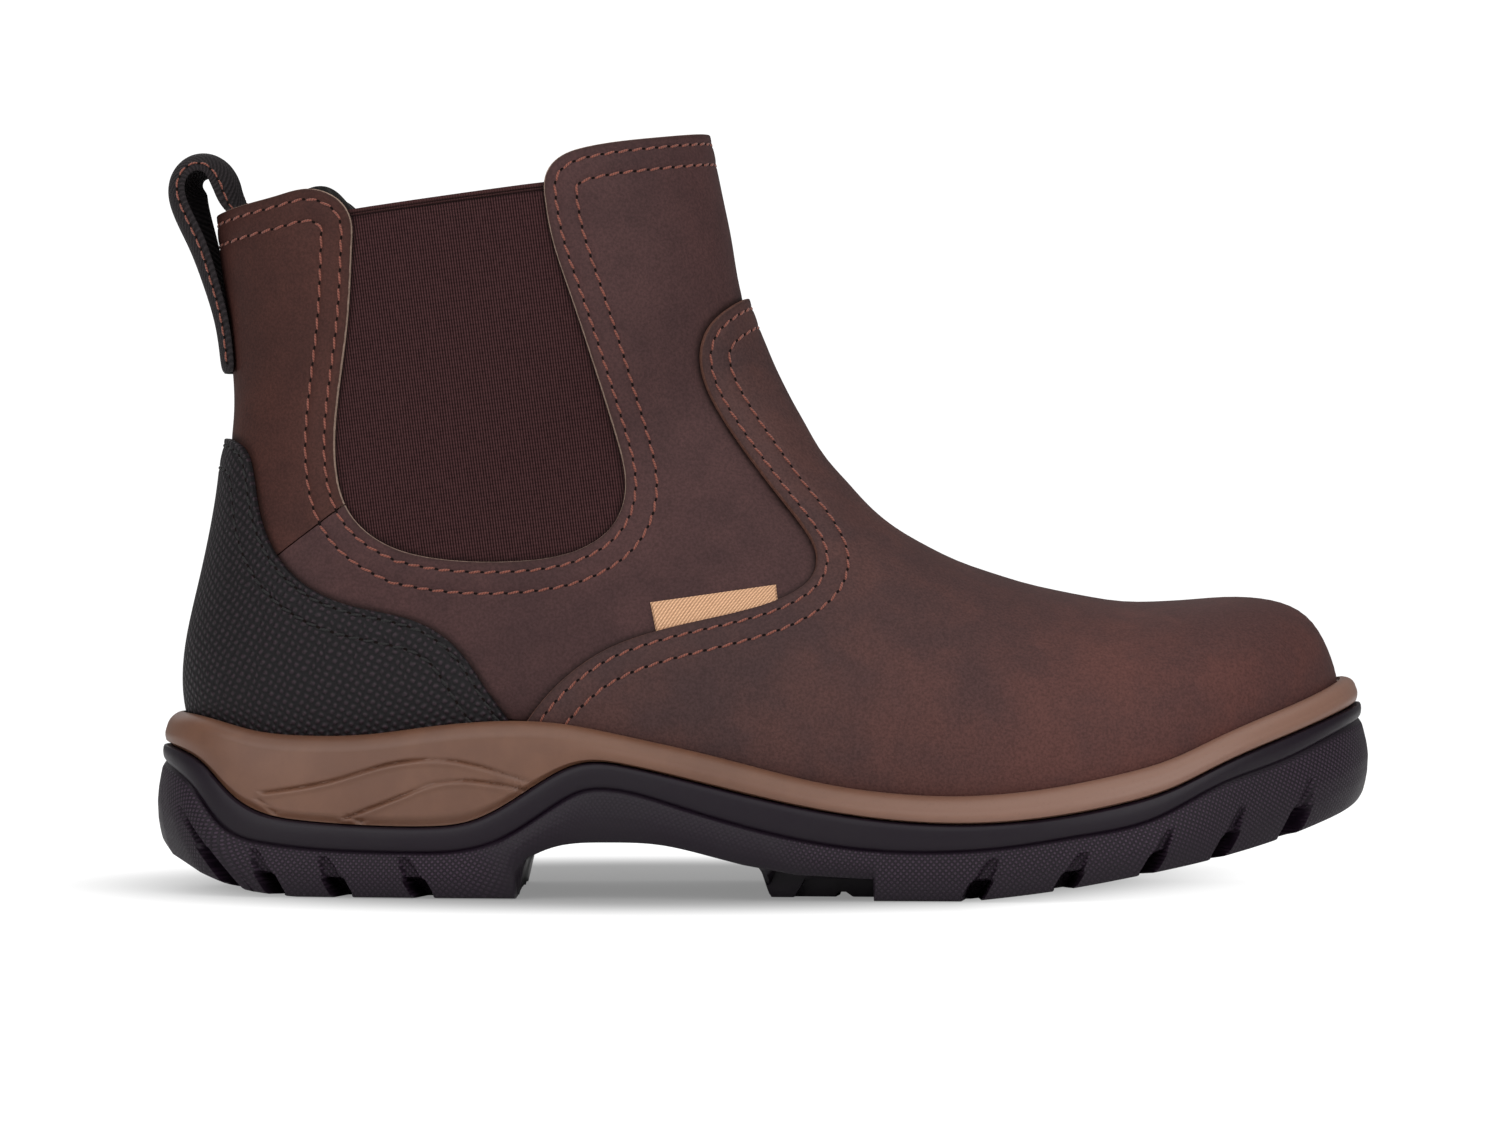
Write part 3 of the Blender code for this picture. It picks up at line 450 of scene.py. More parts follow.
def on_last(points):
    """Row of side-view points on the lateral half: the section whose straight line from base to ridge passes
    through each point, and the turn from the point's share of that line. Points past the outline are left
    out."""
    def lines(u):
        """For sections u: share of the widest place, line from base to ridge, and way from base to point."""
        row = last_rows(u)
        base = row[:, [BASE_X, BASE_Z]]
        return row[:, BELLY], row[:, [RIDGE_X, RIDGE_Z]] - base, points - base

    def behind(u):
        """Whether the sections' lines pass behind the points, by the sign of a cross product."""
        line, away = lines(u)[1:]
        return line[:, 0] * away[:, 1] <= line[:, 1] * away[:, 0]

    u = halve(np.full(len(points), FIRST_U), np.full(len(points), TOP_U), behind)
    belly, line, away = lines(u)
    share = np.sum(away * line, axis=1) / np.sum(line * line, axis=1)
    lift = np.where(share > belly, (share - belly) / (1 - belly), (share - belly) / belly)
    inside = np.abs(lift) < 1
    return np.column_stack([u, np.arccos(np.clip(lift, -1, 1))])[inside]


def evenly(row, count):
    """Row read again at even steps along the surface."""
    along = lengths(surface(row))
    return read_at(np.linspace(0, along[-1], count), along, row)


def edge_row(points, middle):
    """Row along a side-view curve, carried on square to the boot's middle plane: middle is the turn there."""
    row = on_last(smooth_line(points))
    return np.vstack([row, [row[-1, 0], middle]])


def step_in(row, distance):
    """Row moved sideways along the surface, to the left of its run if positive: the step is square to the
    row, and the surface's slopes turn it into changes of u and turn. The end on the middle plane stays
    there."""
    u, turn = row.T
    with_u, with_turn, normal = slopes(u, turn)
    side = distance * unit(np.cross(normal, np.gradient(last_point(u, turn), axis=0)))
    uu, ut, tt, on_u, on_turn = (np.sum(a * b, axis=1) for a, b in (
        (with_u, with_u), (with_u, with_turn), (with_turn, with_turn), (side, with_u), (side, with_turn)))
    spread = uu * tt - ut * ut
    moved = row + np.column_stack([(on_u * tt - on_turn * ut) / spread, (on_turn * uu - on_u * ut) / spread])
    moved[-1, 1] = turn[-1]
    return moved


def relax(row):
    """Row with small kinks smoothed: each inner point moves half way to the middle of its neighbours."""
    return np.vstack([row[:1], row[1:-1] / 2 + (row[:-2] + row[2:]) / 4, row[-1:]])


def trim(row, room):
    """Part of a row past the last place where room, a function of points, is negative."""
    free = room(surface(row))
    blocked = np.flatnonzero(free < 0)
    if not len(blocked):
        return row
    cut = blocked[-1]
    share = free[cut] / (free[cut] - free[cut + 1])
    return np.vstack([row[cut] + share * (row[cut + 1] - row[cut]), row[cut + 1:]])


def above_feather(points):
    """Height of points above the feather line."""
    return points[..., 2] - height(FEATHER, points[..., 0]) - FEATHER_GAP


def above_slant(points):
    """Distance of points above the slit along the slanting seam in side view."""
    run = SLANT_SEAM[1] - SLANT_SEAM[0]
    away = points[..., [0, 2]] - SLANT_SEAM[0]
    return (run[0] * away[..., 1] - run[1] * away[..., 0]) / np.linalg.norm(run) - SEAM_HALF


def below_slant(points):
    """Distance of points below the same slit, which ends at the elastic."""
    return np.where(points[..., 0] > SEAM_END, 1.0, -above_slant(points) - 2 * SEAM_HALF)


def feather_turn(u):
    """How far round each section the feather line lies."""
    return halve(np.zeros(len(u)), np.full(len(u), np.pi),
                 lambda turn: above_feather(last_point(u, turn)) <= 0)


def meeting_section(turn, start, end):
    """Section where the ridge (turn 0) or the base (turn pi) crosses the feather line."""
    return halve(np.array([start]), np.array([end]),
                 lambda u: above_feather(last_point(u, np.array([turn]))) > 0)[0]


TOE_U = meeting_section(0.0, FIRST_U, 2.0)
HEEL_U = meeting_section(np.pi, 12.5, 15.0)


def feather_row(start, end, count):
    """Row along the feather line between two section numbers, in even steps."""
    u = start + (end - start) * (1 - np.cos(np.linspace(0, np.pi, FEATHER_STEPS))) / 2
    u = evenly(np.column_stack([u, feather_turn(u)]), count)[:, 0]
    return np.column_stack([u, feather_turn(u)])


def whole_side(count):
    """Row along the feather line from the middle of the toe to the middle of the heel."""
    row = feather_row(TOE_U, HEEL_U, count)
    row[[0, -1], 1] = 0.0, np.pi
    return row


# Sole outline in plan: a loop from the toe along the lateral side to the heel and back on the medial side

def plan_loop():
    """Plan points of the loop, the way out from each, square to the loop, and the length of one side."""
    side = whole_side(OUTLINE_STEPS)
    lateral, medial = surface(side)[:, :2], surface(side * [1, -1])[:, :2]
    loop = np.concatenate([lateral, medial[-2::-1]])
    run = unit(np.roll(loop[:-1], -1, axis=0) - np.roll(loop[:-1], 1, axis=0))
    out = np.column_stack([-run[:, 1], run[:, 0]])
    return loop, np.concatenate([out, out[:1]]), lengths(lateral)[-1]


LOOP_XY, LOOP_OUT, HALF_LENGTH = plan_loop()
LOOP_Q = np.linspace(0, 2, len(LOOP_XY))


def sole_xy(q, reach):
    """Plan points beyond the feather line: q runs 0 to 1 from toe to heel on the lateral side, then 1 to 2
    back."""
    q = np.mod(q, 2)
    return read_at(q, LOOP_Q, LOOP_XY) + np.asarray(reach)[..., None] * read_at(q, LOOP_Q, LOOP_OUT)


def sole_x(q, reach=SOLE_WALL):
    """X of places along the outline."""
    return sole_xy(q, reach)[:, 0]


SIDE_Q = np.linspace(0, 1, SIDE_STEPS)
SIDE_X = sole_x(SIDE_Q)
outline = sole_xy(LOOP_Q, SOLE_REACH)
sole_low, sole_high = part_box("outsole")
outline_middle = (outline.min(axis=0) + outline.max(axis=0)) / 2
SHIFT = np.array([*((sole_low + sole_high) / 2 / MM)[:2] - outline_middle, 0.0])


# Meshes

def grid_quads(rows, columns, closed=False, first=0):
    """Quads of a grid of points numbered row by row; closed joins the last column to the first."""
    row, column = np.meshgrid(np.arange(rows - 1), np.arange(columns - 1 + closed), indexing='ij')
    after = (column + 1) % columns
    low = first + row * columns
    high = low + columns
    return np.stack([low + column, low + after, high + after, high + column], -1).reshape(-1, 4)


def shell_quads(rows, columns, closed=False):
    """Quads of an outer and an inner grid, joined all round their rims."""
    count = rows * columns
    index = np.arange(count).reshape(rows, columns)
    if closed:
        rims = [index[0], index[-1][::-1]]
    else:
        rims = [np.concatenate([index[0], index[1:, -1], index[-1, -2::-1], index[-2:0:-1, 0]])]
    walls = [np.stack([rim, rim + count, np.roll(rim, -1) + count, np.roll(rim, -1)], axis=1) for rim in rims]
    return np.concatenate([grid_quads(rows, columns, closed),
                           grid_quads(rows, columns, closed, count)[:, ::-1], *walls])


def piece(name, points, quads, material, stands_for=(), uv=None, values=None, sharp=45):
    """Object from points in millimetres and quads: equal points merged, collapsed quads made triangles, faces
    turned outwards. uv and values (floats by name) are given for each point."""
    points = points.reshape(-1, 3)
    first, same = np.unique(np.round(points, 3), axis=0, return_index=True, return_inverse=True)[1:]
    quads = same.reshape(-1)[quads]
    repeat = quads == np.roll(quads, -1, axis=1)
    crossed = (quads[:, 0] == quads[:, 2]) | (quads[:, 1] == quads[:, 3])
    once = (repeat.sum(axis=1) == 1) & ~crossed
    triangles = quads[once][~repeat[once]].reshape(-1, 3)
    faces = quads[~repeat.any(axis=1) & ~crossed].tolist() + triangles.tolist()
    mesh = bpy.data.meshes.new(name)
    mesh.from_pydata((points[first] + SHIFT) * MM, [], faces)
    work = bmesh.new()
    work.from_mesh(mesh)
    bmesh.ops.recalc_face_normals(work, faces=work.faces)
    work.to_mesh(mesh)
    work.free()
    for key, array in (values or {}).items():
        layer = mesh.attributes.new(key, 'FLOAT', 'POINT')
        layer.data.foreach_set('value', np.asarray(array, np.float32).reshape(-1)[first])
    if uv is not None:
        corner = np.zeros(len(mesh.loops), np.int32)
        mesh.loops.foreach_get('vertex_index', corner)
        layer = mesh.uv_layers.new(name="UVMap")
        layer.data.foreach_set('uv', np.asarray(uv, np.float32).reshape(-1, 2)[first][corner].reshape(-1))
    mesh.shade_smooth()
    mesh.set_sharp_from_angle(angle=math.radians(sharp))
    mesh.materials.append(material)
    thing = bpy.data.objects.new(name, mesh)
    bpy.context.scene.collection.objects.link(thing)
    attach(thing, "root")
    if stands_for:
        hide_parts(*stands_for)


# Panels of the upper

def creases(points):
    """Depth of the soft troughs at the given points: each fades with the distance from its side-view line and
    towards that line's end, and has a low rim beside it."""
    total = np.zeros(points.shape[:-1])
    for x0, z0, x1, z1, wide, deep in CREASES:
        run = np.array([x1 - x0, z1 - z0])
        away = points[..., [0, 2]] - [x0, z0]
        share = np.clip(away @ run / (run @ run), 0, 1)
        gap = np.linalg.norm(away - share[..., None] * run, axis=-1) / wide
        rim = CREASE_RIM * bell(gap - CREASE_RIM_AT, math.sqrt(0.5))
        total += deep * (1 - CREASE_FADE * share) * (bell(gap, 1.0) - rim)
    return total


def edge_rows(edge, side, room, columns):
    """Rows that follow a cut edge at the distances in STRIP, each trimmed where room ends; points that come
    nearer the edge than that, inside a sharp turn, are dropped. Side is 1 where the panel lies left of the
    edge's run and -1 where it lies right."""
    row = edge
    rows = []
    line = surface(edge)
    for before, distance in zip((0, *STRIP[:-1]), STRIP):
        if distance > before:
            row = relax(step_in(evenly(row, EDGE_STEPS), side * (distance - before)))
            away = surface(row)[:, None] - line[None]
            nearest = max(NEAR_SHARE * distance - NEAR_SLACK, 0)
            free = np.min(np.sum(away * away, axis=-1), axis=1) > nearest ** 2
            free[[0, -1]] = True
            row = row[free]
        rows.append(evenly(trim(row, room), columns))
    return rows


def matched(far, near, pairs, columns):
    """Far row read so that its columns face those of the near row: pairs hold side-view points, near x, z and
    far x, z, that lie opposite each other."""
    def shares(row):
        """Length along a row up to each point, as a share of the whole."""
        along = lengths(surface(row))
        return along / along[-1]

    def marked(row, marks):
        """Shares of the points of a row nearest to the marks, with those of its ends."""
        gap = np.linalg.norm(surface(row)[None, :, [0, 2]] - marks[:, None], axis=-1)
        return np.concatenate([[0], shares(row)[np.argmin(gap, axis=1)], [1]])

    places = np.interp(np.linspace(0, 1, columns), marked(near, pairs[:, :2]), marked(far, pairs[:, 2:]))
    return read_at(places, shares(far), far)


def settle(rows, passes):
    """Rows with their inner points moved until the mesh is even and nowhere folded: each point goes, many
    times over, to the middle of its neighbours, weighted by their spacing and set right for the skew."""
    mesh = rows * SURFACE_SCALE
    for step in range(passes):
        across = (mesh[1:-1, 2:] - mesh[1:-1, :-2]) / 2
        along = (mesh[2:, 1:-1] - mesh[:-2, 1:-1]) / 2
        skew = np.sum(across * along, axis=-1, keepdims=True)
        across = np.sum(across * across, axis=-1, keepdims=True) + TINY
        along = np.sum(along * along, axis=-1, keepdims=True) + TINY
        corner = (mesh[2:, 2:] - mesh[2:, :-2] - mesh[:-2, 2:] + mesh[:-2, :-2]) / 4
        aim = along * (mesh[1:-1, 2:] + mesh[1:-1, :-2]) + across * (mesh[2:, 1:-1] + mesh[:-2, 1:-1])
        aim = (aim - 2 * skew * corner) / (2 * (along + across))
        mesh[1:-1, 1:-1] += SETTLE_RATE * (aim - mesh[1:-1, 1:-1])
    return mesh / SURFACE_SCALE


def fill_rows(rows, far, count, passes):
    """Rows added between the last of the given rows and the panel's far row: equal shares, then settled."""
    share = np.linspace(0, 1, count + 1)[:, None, None]
    return np.concatenate([np.array(rows[:-1]), settle((1 - share) * rows[-1] + share * far, passes)])


def on_outside(values):
    """Values for the points of a piece's outer face, with 0 for those of its inner face."""
    return np.stack([values, 0 * values])


def gap_to(points, line):
    """Side-view distance from points to a line."""
    away = points.reshape(-1, 1, 2) - smooth_line(line, 0.8)[None]
    return np.sqrt(np.min(np.sum(away * away, axis=-1), axis=1)).reshape(points.shape[:-1])


def leather_profile(distance, face, rows, skive):
    """Outer height of a panel by distance from its cut edge: a rounded rim, a thinner border, a groove under
    each stitch row and a slight swell between the rows."""
    rim = np.clip(1 - distance / EDGE_ROUND, 0, 1)
    out = face - EDGE_ROUND * (1 - np.sqrt(1 - rim ** 2))
    out = out - skive * (1 - smooth_step(distance, 0, SKIVE_WIDTH))
    for row in rows:
        out = out - GROOVE_DEPTH * bell(distance - row, GROOVE_WIDTH)
    return out + PUFF_DEPTH * bell(distance - sum(rows) / 2, PUFF_WIDTH)


def panel(name, rows, middle, face, back, sewing, skive, material, stands_for, uv=None, covers=()):
    """Leather piece with a cut edge: half rows mirrored at the middle plane, an outer face by leather_profile
    with the creases in it, and an inner face. Covers are the edges of pieces that lie on it, pressing it a
    little and darkening it there as painted contact shade. Gives the rows to sew, with their heights."""
    grid = np.concatenate([rows, mirrored(rows, middle)], axis=1)
    count, columns = grid.shape[:2]
    distance = np.full((count, 1), STRIP[-1] + FAR_IN)
    distance[:len(STRIP), 0] = STRIP
    where = surface(grid)
    press_and_shade = np.zeros((count, columns))
    for line in covers:
        press_and_shade += bell(gap_to(where[..., [0, 2]], line), PRESS_WIDTH)
    out = leather_profile(distance, face, sewing, skive)
    out = out - creases(where) * smooth_step(distance, 2, STRIP[-1]) - PRESS_DEPTH * press_and_shade
    points = sheets(grid, out, back)
    edge = np.stack([np.repeat(distance, columns, axis=1), np.full(out.shape, RAW_FACE)])
    piece(name, points, shell_quads(count, columns), material, stands_for,
          uv=uv(points) if uv else None, values={"edge": edge, "press_and_shade": on_outside(press_and_shade)})
    return [(grid[STRIP.index(row)], out[STRIP.index(row)]) for row in sewing]


def heel_wrap(points):
    """UV round the heel: arc length in plan about the heel's centre, then straight along the sides, and
    height."""
    ahead = points[..., 0] - HEEL_CENTRE
    wide = points[..., 1]
    arc = np.where(ahead > 0, ahead + HEEL_RADIUS * np.pi / 2, HEEL_RADIUS * np.arctan2(np.abs(wide), -ahead))
    return np.stack([arc * np.sign(wide), points[..., 2]], axis=-1) * MM


# Thread

def stitch_points(path, normal, pitch, radius, slant):
    """Bars of thread along a path: each is round in section, arched, drawn to a point at both ends and laid a
    little across the row. Array of stitches, rings, points round, 3, and its UV. Also the places where the
    needle went in, with their normals."""
    along = lengths(path)
    count = max(int(along[-1] / pitch), 1)
    pitch = along[-1] / count
    share = np.linspace(0, 1, STITCH_RINGS)
    at = (np.arange(count)[:, None] + STITCH_GAP + (1 - 2 * STITCH_GAP) * share) * pitch
    up = read_at(at, along, normal)
    centre = read_at(at, along, path)
    across = np.cross(up, unit(np.gradient(centre, axis=1)))
    lift = radius * (STITCH_RISE * np.sin(np.pi * share) ** 0.5 - STITCH_SUNK)
    centre = centre + up * lift[:, None] + across * (slant * (share - 0.5))[:, None]
    thick = radius * np.sin(np.pi * share) ** 0.3
    thick[[0, -1]] = 0.0
    angle = np.linspace(0, 2 * np.pi, STITCH_AROUND, endpoint=False)
    ring = across[:, :, None] * np.cos(angle)[:, None] + up[:, :, None] * np.sin(angle)[:, None]
    points = centre[:, :, None] + ring * thick[:, None, None]
    twist = np.stack(np.broadcast_arrays(at[:, :, None] * MM, angle * radius * MM), axis=-1)
    ends = np.arange(count + 1) * pitch
    return points, twist, read_at(ends, along, path), read_at(ends, along, normal)


def hole_points(holes, up, radius):
    """Small dished discs at the needle's places, by HOLE_FORM: a rim on the leather and a floor under it;
    their near-black colour is painted shade in the holes.
    """
    along = unit(np.cross(up, [0.3, 0.5, 0.8]))
    across = np.cross(up, along)
    angle = np.linspace(0, 2 * np.pi, STITCH_AROUND, endpoint=False)
    ring = along[:, None] * np.cos(angle)[:, None] + across[:, None] * np.sin(angle)[:, None]
    levels = [holes[:, None] + ring * wide * radius + up[:, None] * lift for wide, lift in HOLE_FORM]
    return np.stack(levels, axis=1)


def many(points):
    """Quads of many small closed tubes: points as tubes, rings, points round, 3."""
    count, rings, around = points.shape[:3]
    one = grid_quads(rings, around, closed=True)
    return (np.arange(count)[:, None, None] * rings * around + one).reshape(-1, 4)


def sew_paths(name, paths, material, pitch, radius, slant):
    """Thread and needle holes along paths of points and normals: one mesh of each."""
    made = zip(*(stitch_points(*path, pitch, radius, slant) for path in paths))
    points, twist, holes, up = (np.concatenate(arrays) for arrays in made)
    piece(name, points, many(points), material, uv=twist, sharp=180)
    discs = hole_points(holes, up, radius * HOLE_SIZE)
    piece(name + "_holes", discs, many(discs), needle_hole_shade)


def sew(name, sewn, material, pitch=STITCH_PITCH, radius=THREAD):
    """Thread and needle holes along rows of u, turn with their heights."""
    paths = [(skin(*row.T, out), slopes(*row.T)[2]) for row, out in sewn]
    sew_paths(name, paths, material, pitch, radius, STITCH_SLANT)


# Node helpers

def node(tree, kind, values=None, **settings):
    """Node with its settings and input values; a socket given as a value is linked."""
    made = tree.nodes.new(kind)
    for key, value in settings.items():
        setattr(made, key, value)
    for key, value in (values or {}).items():
        if isinstance(value, bpy.types.NodeSocket):
            tree.links.new(value, made.inputs[key])
        else:
            made.inputs[key].default_value = value
    return made


def math_node(tree, operation, *values):
    """Result of one sum on sockets or numbers."""
    return node(tree, 'ShaderNodeMath', dict(enumerate(values)), operation=operation).outputs[0]


def times(tree, first, second):
    """Product of two values."""
    return math_node(tree, 'MULTIPLY', first, second)


def times_add(tree, first, second, third):
    """Product of two values, with a third added."""
    return math_node(tree, 'MULTIPLY_ADD', first, second, third)


def split(tree, vector):
    """The three parts of a vector."""
    return node(tree, 'ShaderNodeSeparateXYZ', {0: vector}).outputs


def attribute(tree, name):
    """Value that the mesh holds under a name."""
    return node(tree, 'ShaderNodeAttribute', attribute_name=name).outputs['Fac']


def noise(tree, vector, scale, detail=2.0, roughness=0.5):
    """Value of a noise texture."""
    values = {'Vector': vector, 'Scale': scale, 'Detail': detail, 'Roughness': roughness}
    return node(tree, 'ShaderNodeTexNoise', values).outputs['Fac']


def ramp(tree, value, low, high, start=0.0, end=1.0):
    """Value carried from one range to another, eased and held at the ends."""
    values = {'Value': value, 'From Min': low, 'From Max': high, 'To Min': start, 'To Max': end}
    return node(tree, 'ShaderNodeMapRange', values, interpolation_type='SMOOTHSTEP').outputs['Result']


def mix(tree, factor, first, second, blend='MIX'):
    """Colour mixed from two; inputs 0, 6 and 7 of the node are the factor and the colours."""
    return node(tree, 'ShaderNodeMix', {0: factor, 6: first, 7: second}, data_type='RGBA',
                blend_type=blend).outputs[2]


def group(name, inputs, outputs):
    """Empty shader node group: its tree, input node and output node."""
    tree = bpy.data.node_groups.new(name, 'ShaderNodeTree')
    for key, kind, value in inputs:
        socket = tree.interface.new_socket(key, in_out='INPUT', socket_type='NodeSocket' + kind)
        if value is not None:
            socket.default_value = value
    for key in outputs:
        tree.interface.new_socket(key, in_out='OUTPUT', socket_type='NodeSocketFloat')
    return tree, tree.nodes.new('NodeGroupInput').outputs, tree.nodes.new('NodeGroupOutput').inputs


def place(tree, group_tree, values):
    """Outputs of a node group placed in a material with its own values."""
    return node(tree, 'ShaderNodeGroup', values, node_tree=group_tree).outputs


def mottle(tree, where, cloud, speckle):
    """Outputs of the mottle group at the given scales."""
    return place(tree, MOTTLE, {"Vector": where, "Cloud Scale": cloud, "Speckle Scale": speckle})


def new_material(name, **settings):
    """New material: its tree, its shader with plain settings on the sockets, and its coordinates."""
    made = bpy.data.materials.new(name)
    made.use_nodes = True
    tree = made.node_tree
    shader = tree.nodes['Principled BSDF']
    for key, value in settings.items():
        shader.inputs[key.replace('_', ' ')].default_value = value
    return made, tree, shader.inputs, tree.nodes.new('ShaderNodeTexCoord').outputs


def wire(tree, sockets, **values):
    """Values that change over the surface linked to sockets by name."""
    for key, value in values.items():
        tree.links.new(value, sockets[key.replace('_', ' ')])


def bump(tree, shader, value, strength, distance):
    """Height joined to the shader's normal."""
    made = node(tree, 'ShaderNodeBump', {'Height': value, 'Strength': strength, 'Distance': distance})
    wire(tree, shader, Normal=made.outputs['Normal'])


def grey(value):
    """Neutral colour."""
    return (value, value, value, 1.0)


# Shared effects

def make_mottle():
    """Cloudy mask from large and middling noise, and fine speckle for nap or dust."""
    tree, given, out = group("mottle", [("Vector", 'Vector', None), ("Cloud Scale", 'Float', 26.0),
                                        ("Speckle Scale", 'Float', 1600.0)], ("Cloud", "Speckle"))
    where, cloud = given["Vector"], given["Cloud Scale"]
    large = noise(tree, where, cloud, 3.0, 0.6)
    middling = noise(tree, where, times(tree, cloud, 5.3), 3.0, 0.6)
    both = times_add(tree, large, 0.68, times(tree, middling, 0.32))
    wire(tree, out, Cloud=ramp(tree, both, 0.38, 0.62),
         Speckle=noise(tree, where, given["Speckle Scale"], 2.0, 0.6))
    return tree


def make_cut_edge():
    """Raw fibre of a cut edge and the darker burnish beside it, from the distance to the edge in
    millimetres."""
    tree, given, out = group("cut_edge", [("Distance", 'Float', 0.0), ("Vector", 'Vector', None)],
                             ("Raw", "Burnish"))
    distance = given["Distance"]
    wobble = times_add(tree, noise(tree, given["Vector"], 420.0, 3.0, 0.7), 0.22, -0.03)
    wire(tree, out, Raw=ramp(tree, math_node(tree, 'SUBTRACT', distance, wobble), -0.06, 0.10, 1.0, 0.0),
         Burnish=ramp(tree, distance, 0.1, 1.6, 1.0, 0.0))
    return tree


def make_ribs():
    """Fine ribs along one way and finer picks across them, both as smooth waves."""
    tree, given, out = group("ribs", [("Along", 'Float', 0.0), ("Across", 'Float', 0.0),
                                      ("Rib", 'Float', 0.001), ("Pick", 'Float', 0.0006)],
                             ("Rib Wave", "Pick Wave"))
    for way, size, result in (("Across", "Rib", "Rib Wave"), ("Along", "Pick", "Pick Wave")):
        turns = times(tree, math_node(tree, 'DIVIDE', given[way], given[size]), 2 * math.pi)
        tree.links.new(times_add(tree, math_node(tree, 'SINE', turns), 0.5, 0.5), out[result])
    return tree


MOTTLE = make_mottle()
CUT_EDGE = make_cut_edge()
RIBS = make_ribs()


# Materials; tones are linear colours, lengths metres, noise scales per metre

PALE_FIBRE = ((0.13, 0.085, 0.065), (0.46, 0.33, 0.26))
BROWN_FIBRE = ((0.050, 0.021, 0.015), (0.150, 0.070, 0.052))
BURNISHED = (0.022, 0.011, 0.008, 1)
# painted contact shade, for leather under the edge of a piece on top
PAINTED_CONTACT_SHADE = (0.006, 0.003, 0.002, 1)
ELASTIC_DARK, ELASTIC_LIGHT = (0.0048, 0.0011, 0.0012, 1), (0.061, 0.0247, 0.0258, 1)
# the seam tone serves both the fold's dark seams and the painted shade along the window's edge
ELASTIC_FOLD, ELASTIC_SEAM_AND_SHADE = (0.050, 0.020, 0.019, 1), (0.004, 0.002, 0.002, 1)
WEAVE_DARK, WEAVE_BUMP_TONE_AND_HIGHLIGHT = (0.0022, 0.0010, 0.0020, 1), (0.0275, 0.0150, 0.0215, 1)
FOAM_DARK, FOAM_LIGHT = (0.122, 0.0550, 0.0330, 1), (0.147, 0.0680, 0.0405, 1)
FOAM_PAINTED_TOE_LIGHT, FOAM_SPECK = (0.198, 0.103, 0.072, 1), (0.09, 0.045, 0.031, 1)
RUBBER_DARK, RUBBER_LIGHT = (0.0072, 0.0030, 0.0078, 1), (0.0435, 0.0256, 0.0435, 1)
RUBBER_DUST = (0.011, 0.009, 0.011, 1)
# painted shade inside the needle holes
HOLE_SHADE_DARK, HOLE_SHADE_LIGHT = (0.003, 0.002, 0.002, 1), (0.009, 0.005, 0.004, 1)
CELL = 0.00187          # cell of the heel counter's weave
DIAMOND = 0.00136       # diamond on the outsole's wall


def make_leather(name, dark, warm, raw_dark, raw_light, toe=(1.0, 1.0, 1.0)):
    """Oiled nubuck: cloudy brown with a red cast, fine nap, raw fibre on cut edges, painted contact shade
    where another piece's edge lies on it; toe is the tint that it takes on towards the toe, partly the
    leather's own redder tone and partly painted light."""
    made, tree, shader, coordinates = new_material(name, Specular_IOR_Level=0.12)
    where = coordinates['Object']
    spots = mottle(tree, where, 21.0, 1500.0)
    cut = place(tree, CUT_EDGE, {"Distance": attribute(tree, "edge"), "Vector": where})
    tone = mix(tree, spots["Cloud"], (*dark, 1), (*warm, 1))
    # towards the toe the tone takes the toe tint: partly the leather's own redder tone, partly painted light
    ahead = ramp(tree, split(tree, where)[0], -0.02, 0.12)
    tone = mix(tree, ahead, tone, mix(tree, 1.0, tone, (*toe, 1), 'MULTIPLY'))
    nap = ramp(tree, spots["Speckle"], 0.25, 0.75, 0.80, 1.20)
    nap = node(tree, 'ShaderNodeCombineColor', {0: nap, 1: nap, 2: nap}).outputs[0]
    tone = mix(tree, 1.0, tone, nap, 'MULTIPLY')
    tone = mix(tree, times(tree, cut["Burnish"], 0.30), tone, BURNISHED)
    # painted contact shade: darker where the edge of a piece on top lies on the panel
    tone = mix(tree, times(tree, attribute(tree, "press_and_shade"), 0.75), tone, PAINTED_CONTACT_SHADE)
    fibre = mix(tree, spots["Speckle"], (*raw_dark, 1), (*raw_light, 1))
    dull = times_add(tree, spots["Cloud"], -0.06, 0.60)
    wire(tree, shader, Base_Color=mix(tree, cut["Raw"], tone, fibre),
         Roughness=times_add(tree, cut["Raw"], 0.3, dull))
    pores = noise(tree, where, 620.0, 4.0, 0.65)
    bump(tree, shader, times_add(tree, spots["Speckle"], 0.5, pores), 0.35, 0.00018)
    return made


def make_elastic():
    """Elastic: fine ribs up the panel with picks across, dark brown, a little lighter on the folded top,
    near black in its seams and darker along the window's edge as painted shade."""
    made, tree, shader, coordinates = new_material("elastic_rib", Roughness=0.85, Specular_IOR_Level=0.1)
    parts = split(tree, coordinates['Object'])
    waves = place(tree, RIBS, {"Across": times_add(tree, parts[2], 0.14, parts[0]), "Rib": 0.00065,
                               "Along": times_add(tree, parts[0], -0.12, parts[2]), "Pick": 0.0009})
    both = times(tree, waves["Rib Wave"], times_add(tree, waves["Pick Wave"], 0.5, 0.5))
    spots = mottle(tree, coordinates['Object'], 30.0, 900.0)
    light = times_add(tree, spots["Speckle"], 0.35, times(tree, both, 0.85))
    tone = mix(tree, ramp(tree, light, 0.1, 0.85), ELASTIC_DARK, ELASTIC_LIGHT)
    tone = mix(tree, times(tree, attribute(tree, "fold"), 0.6), tone, ELASTIC_FOLD)
    # the seam mask holds the fold's dark seams and the painted shade along the window's edge
    wire(tree, shader, Base_Color=mix(tree, times(tree, attribute(tree, "seam"), 0.85), tone, ELASTIC_SEAM_AND_SHADE))
    bump(tree, shader, both, 0.6, 0.00022)
    return made


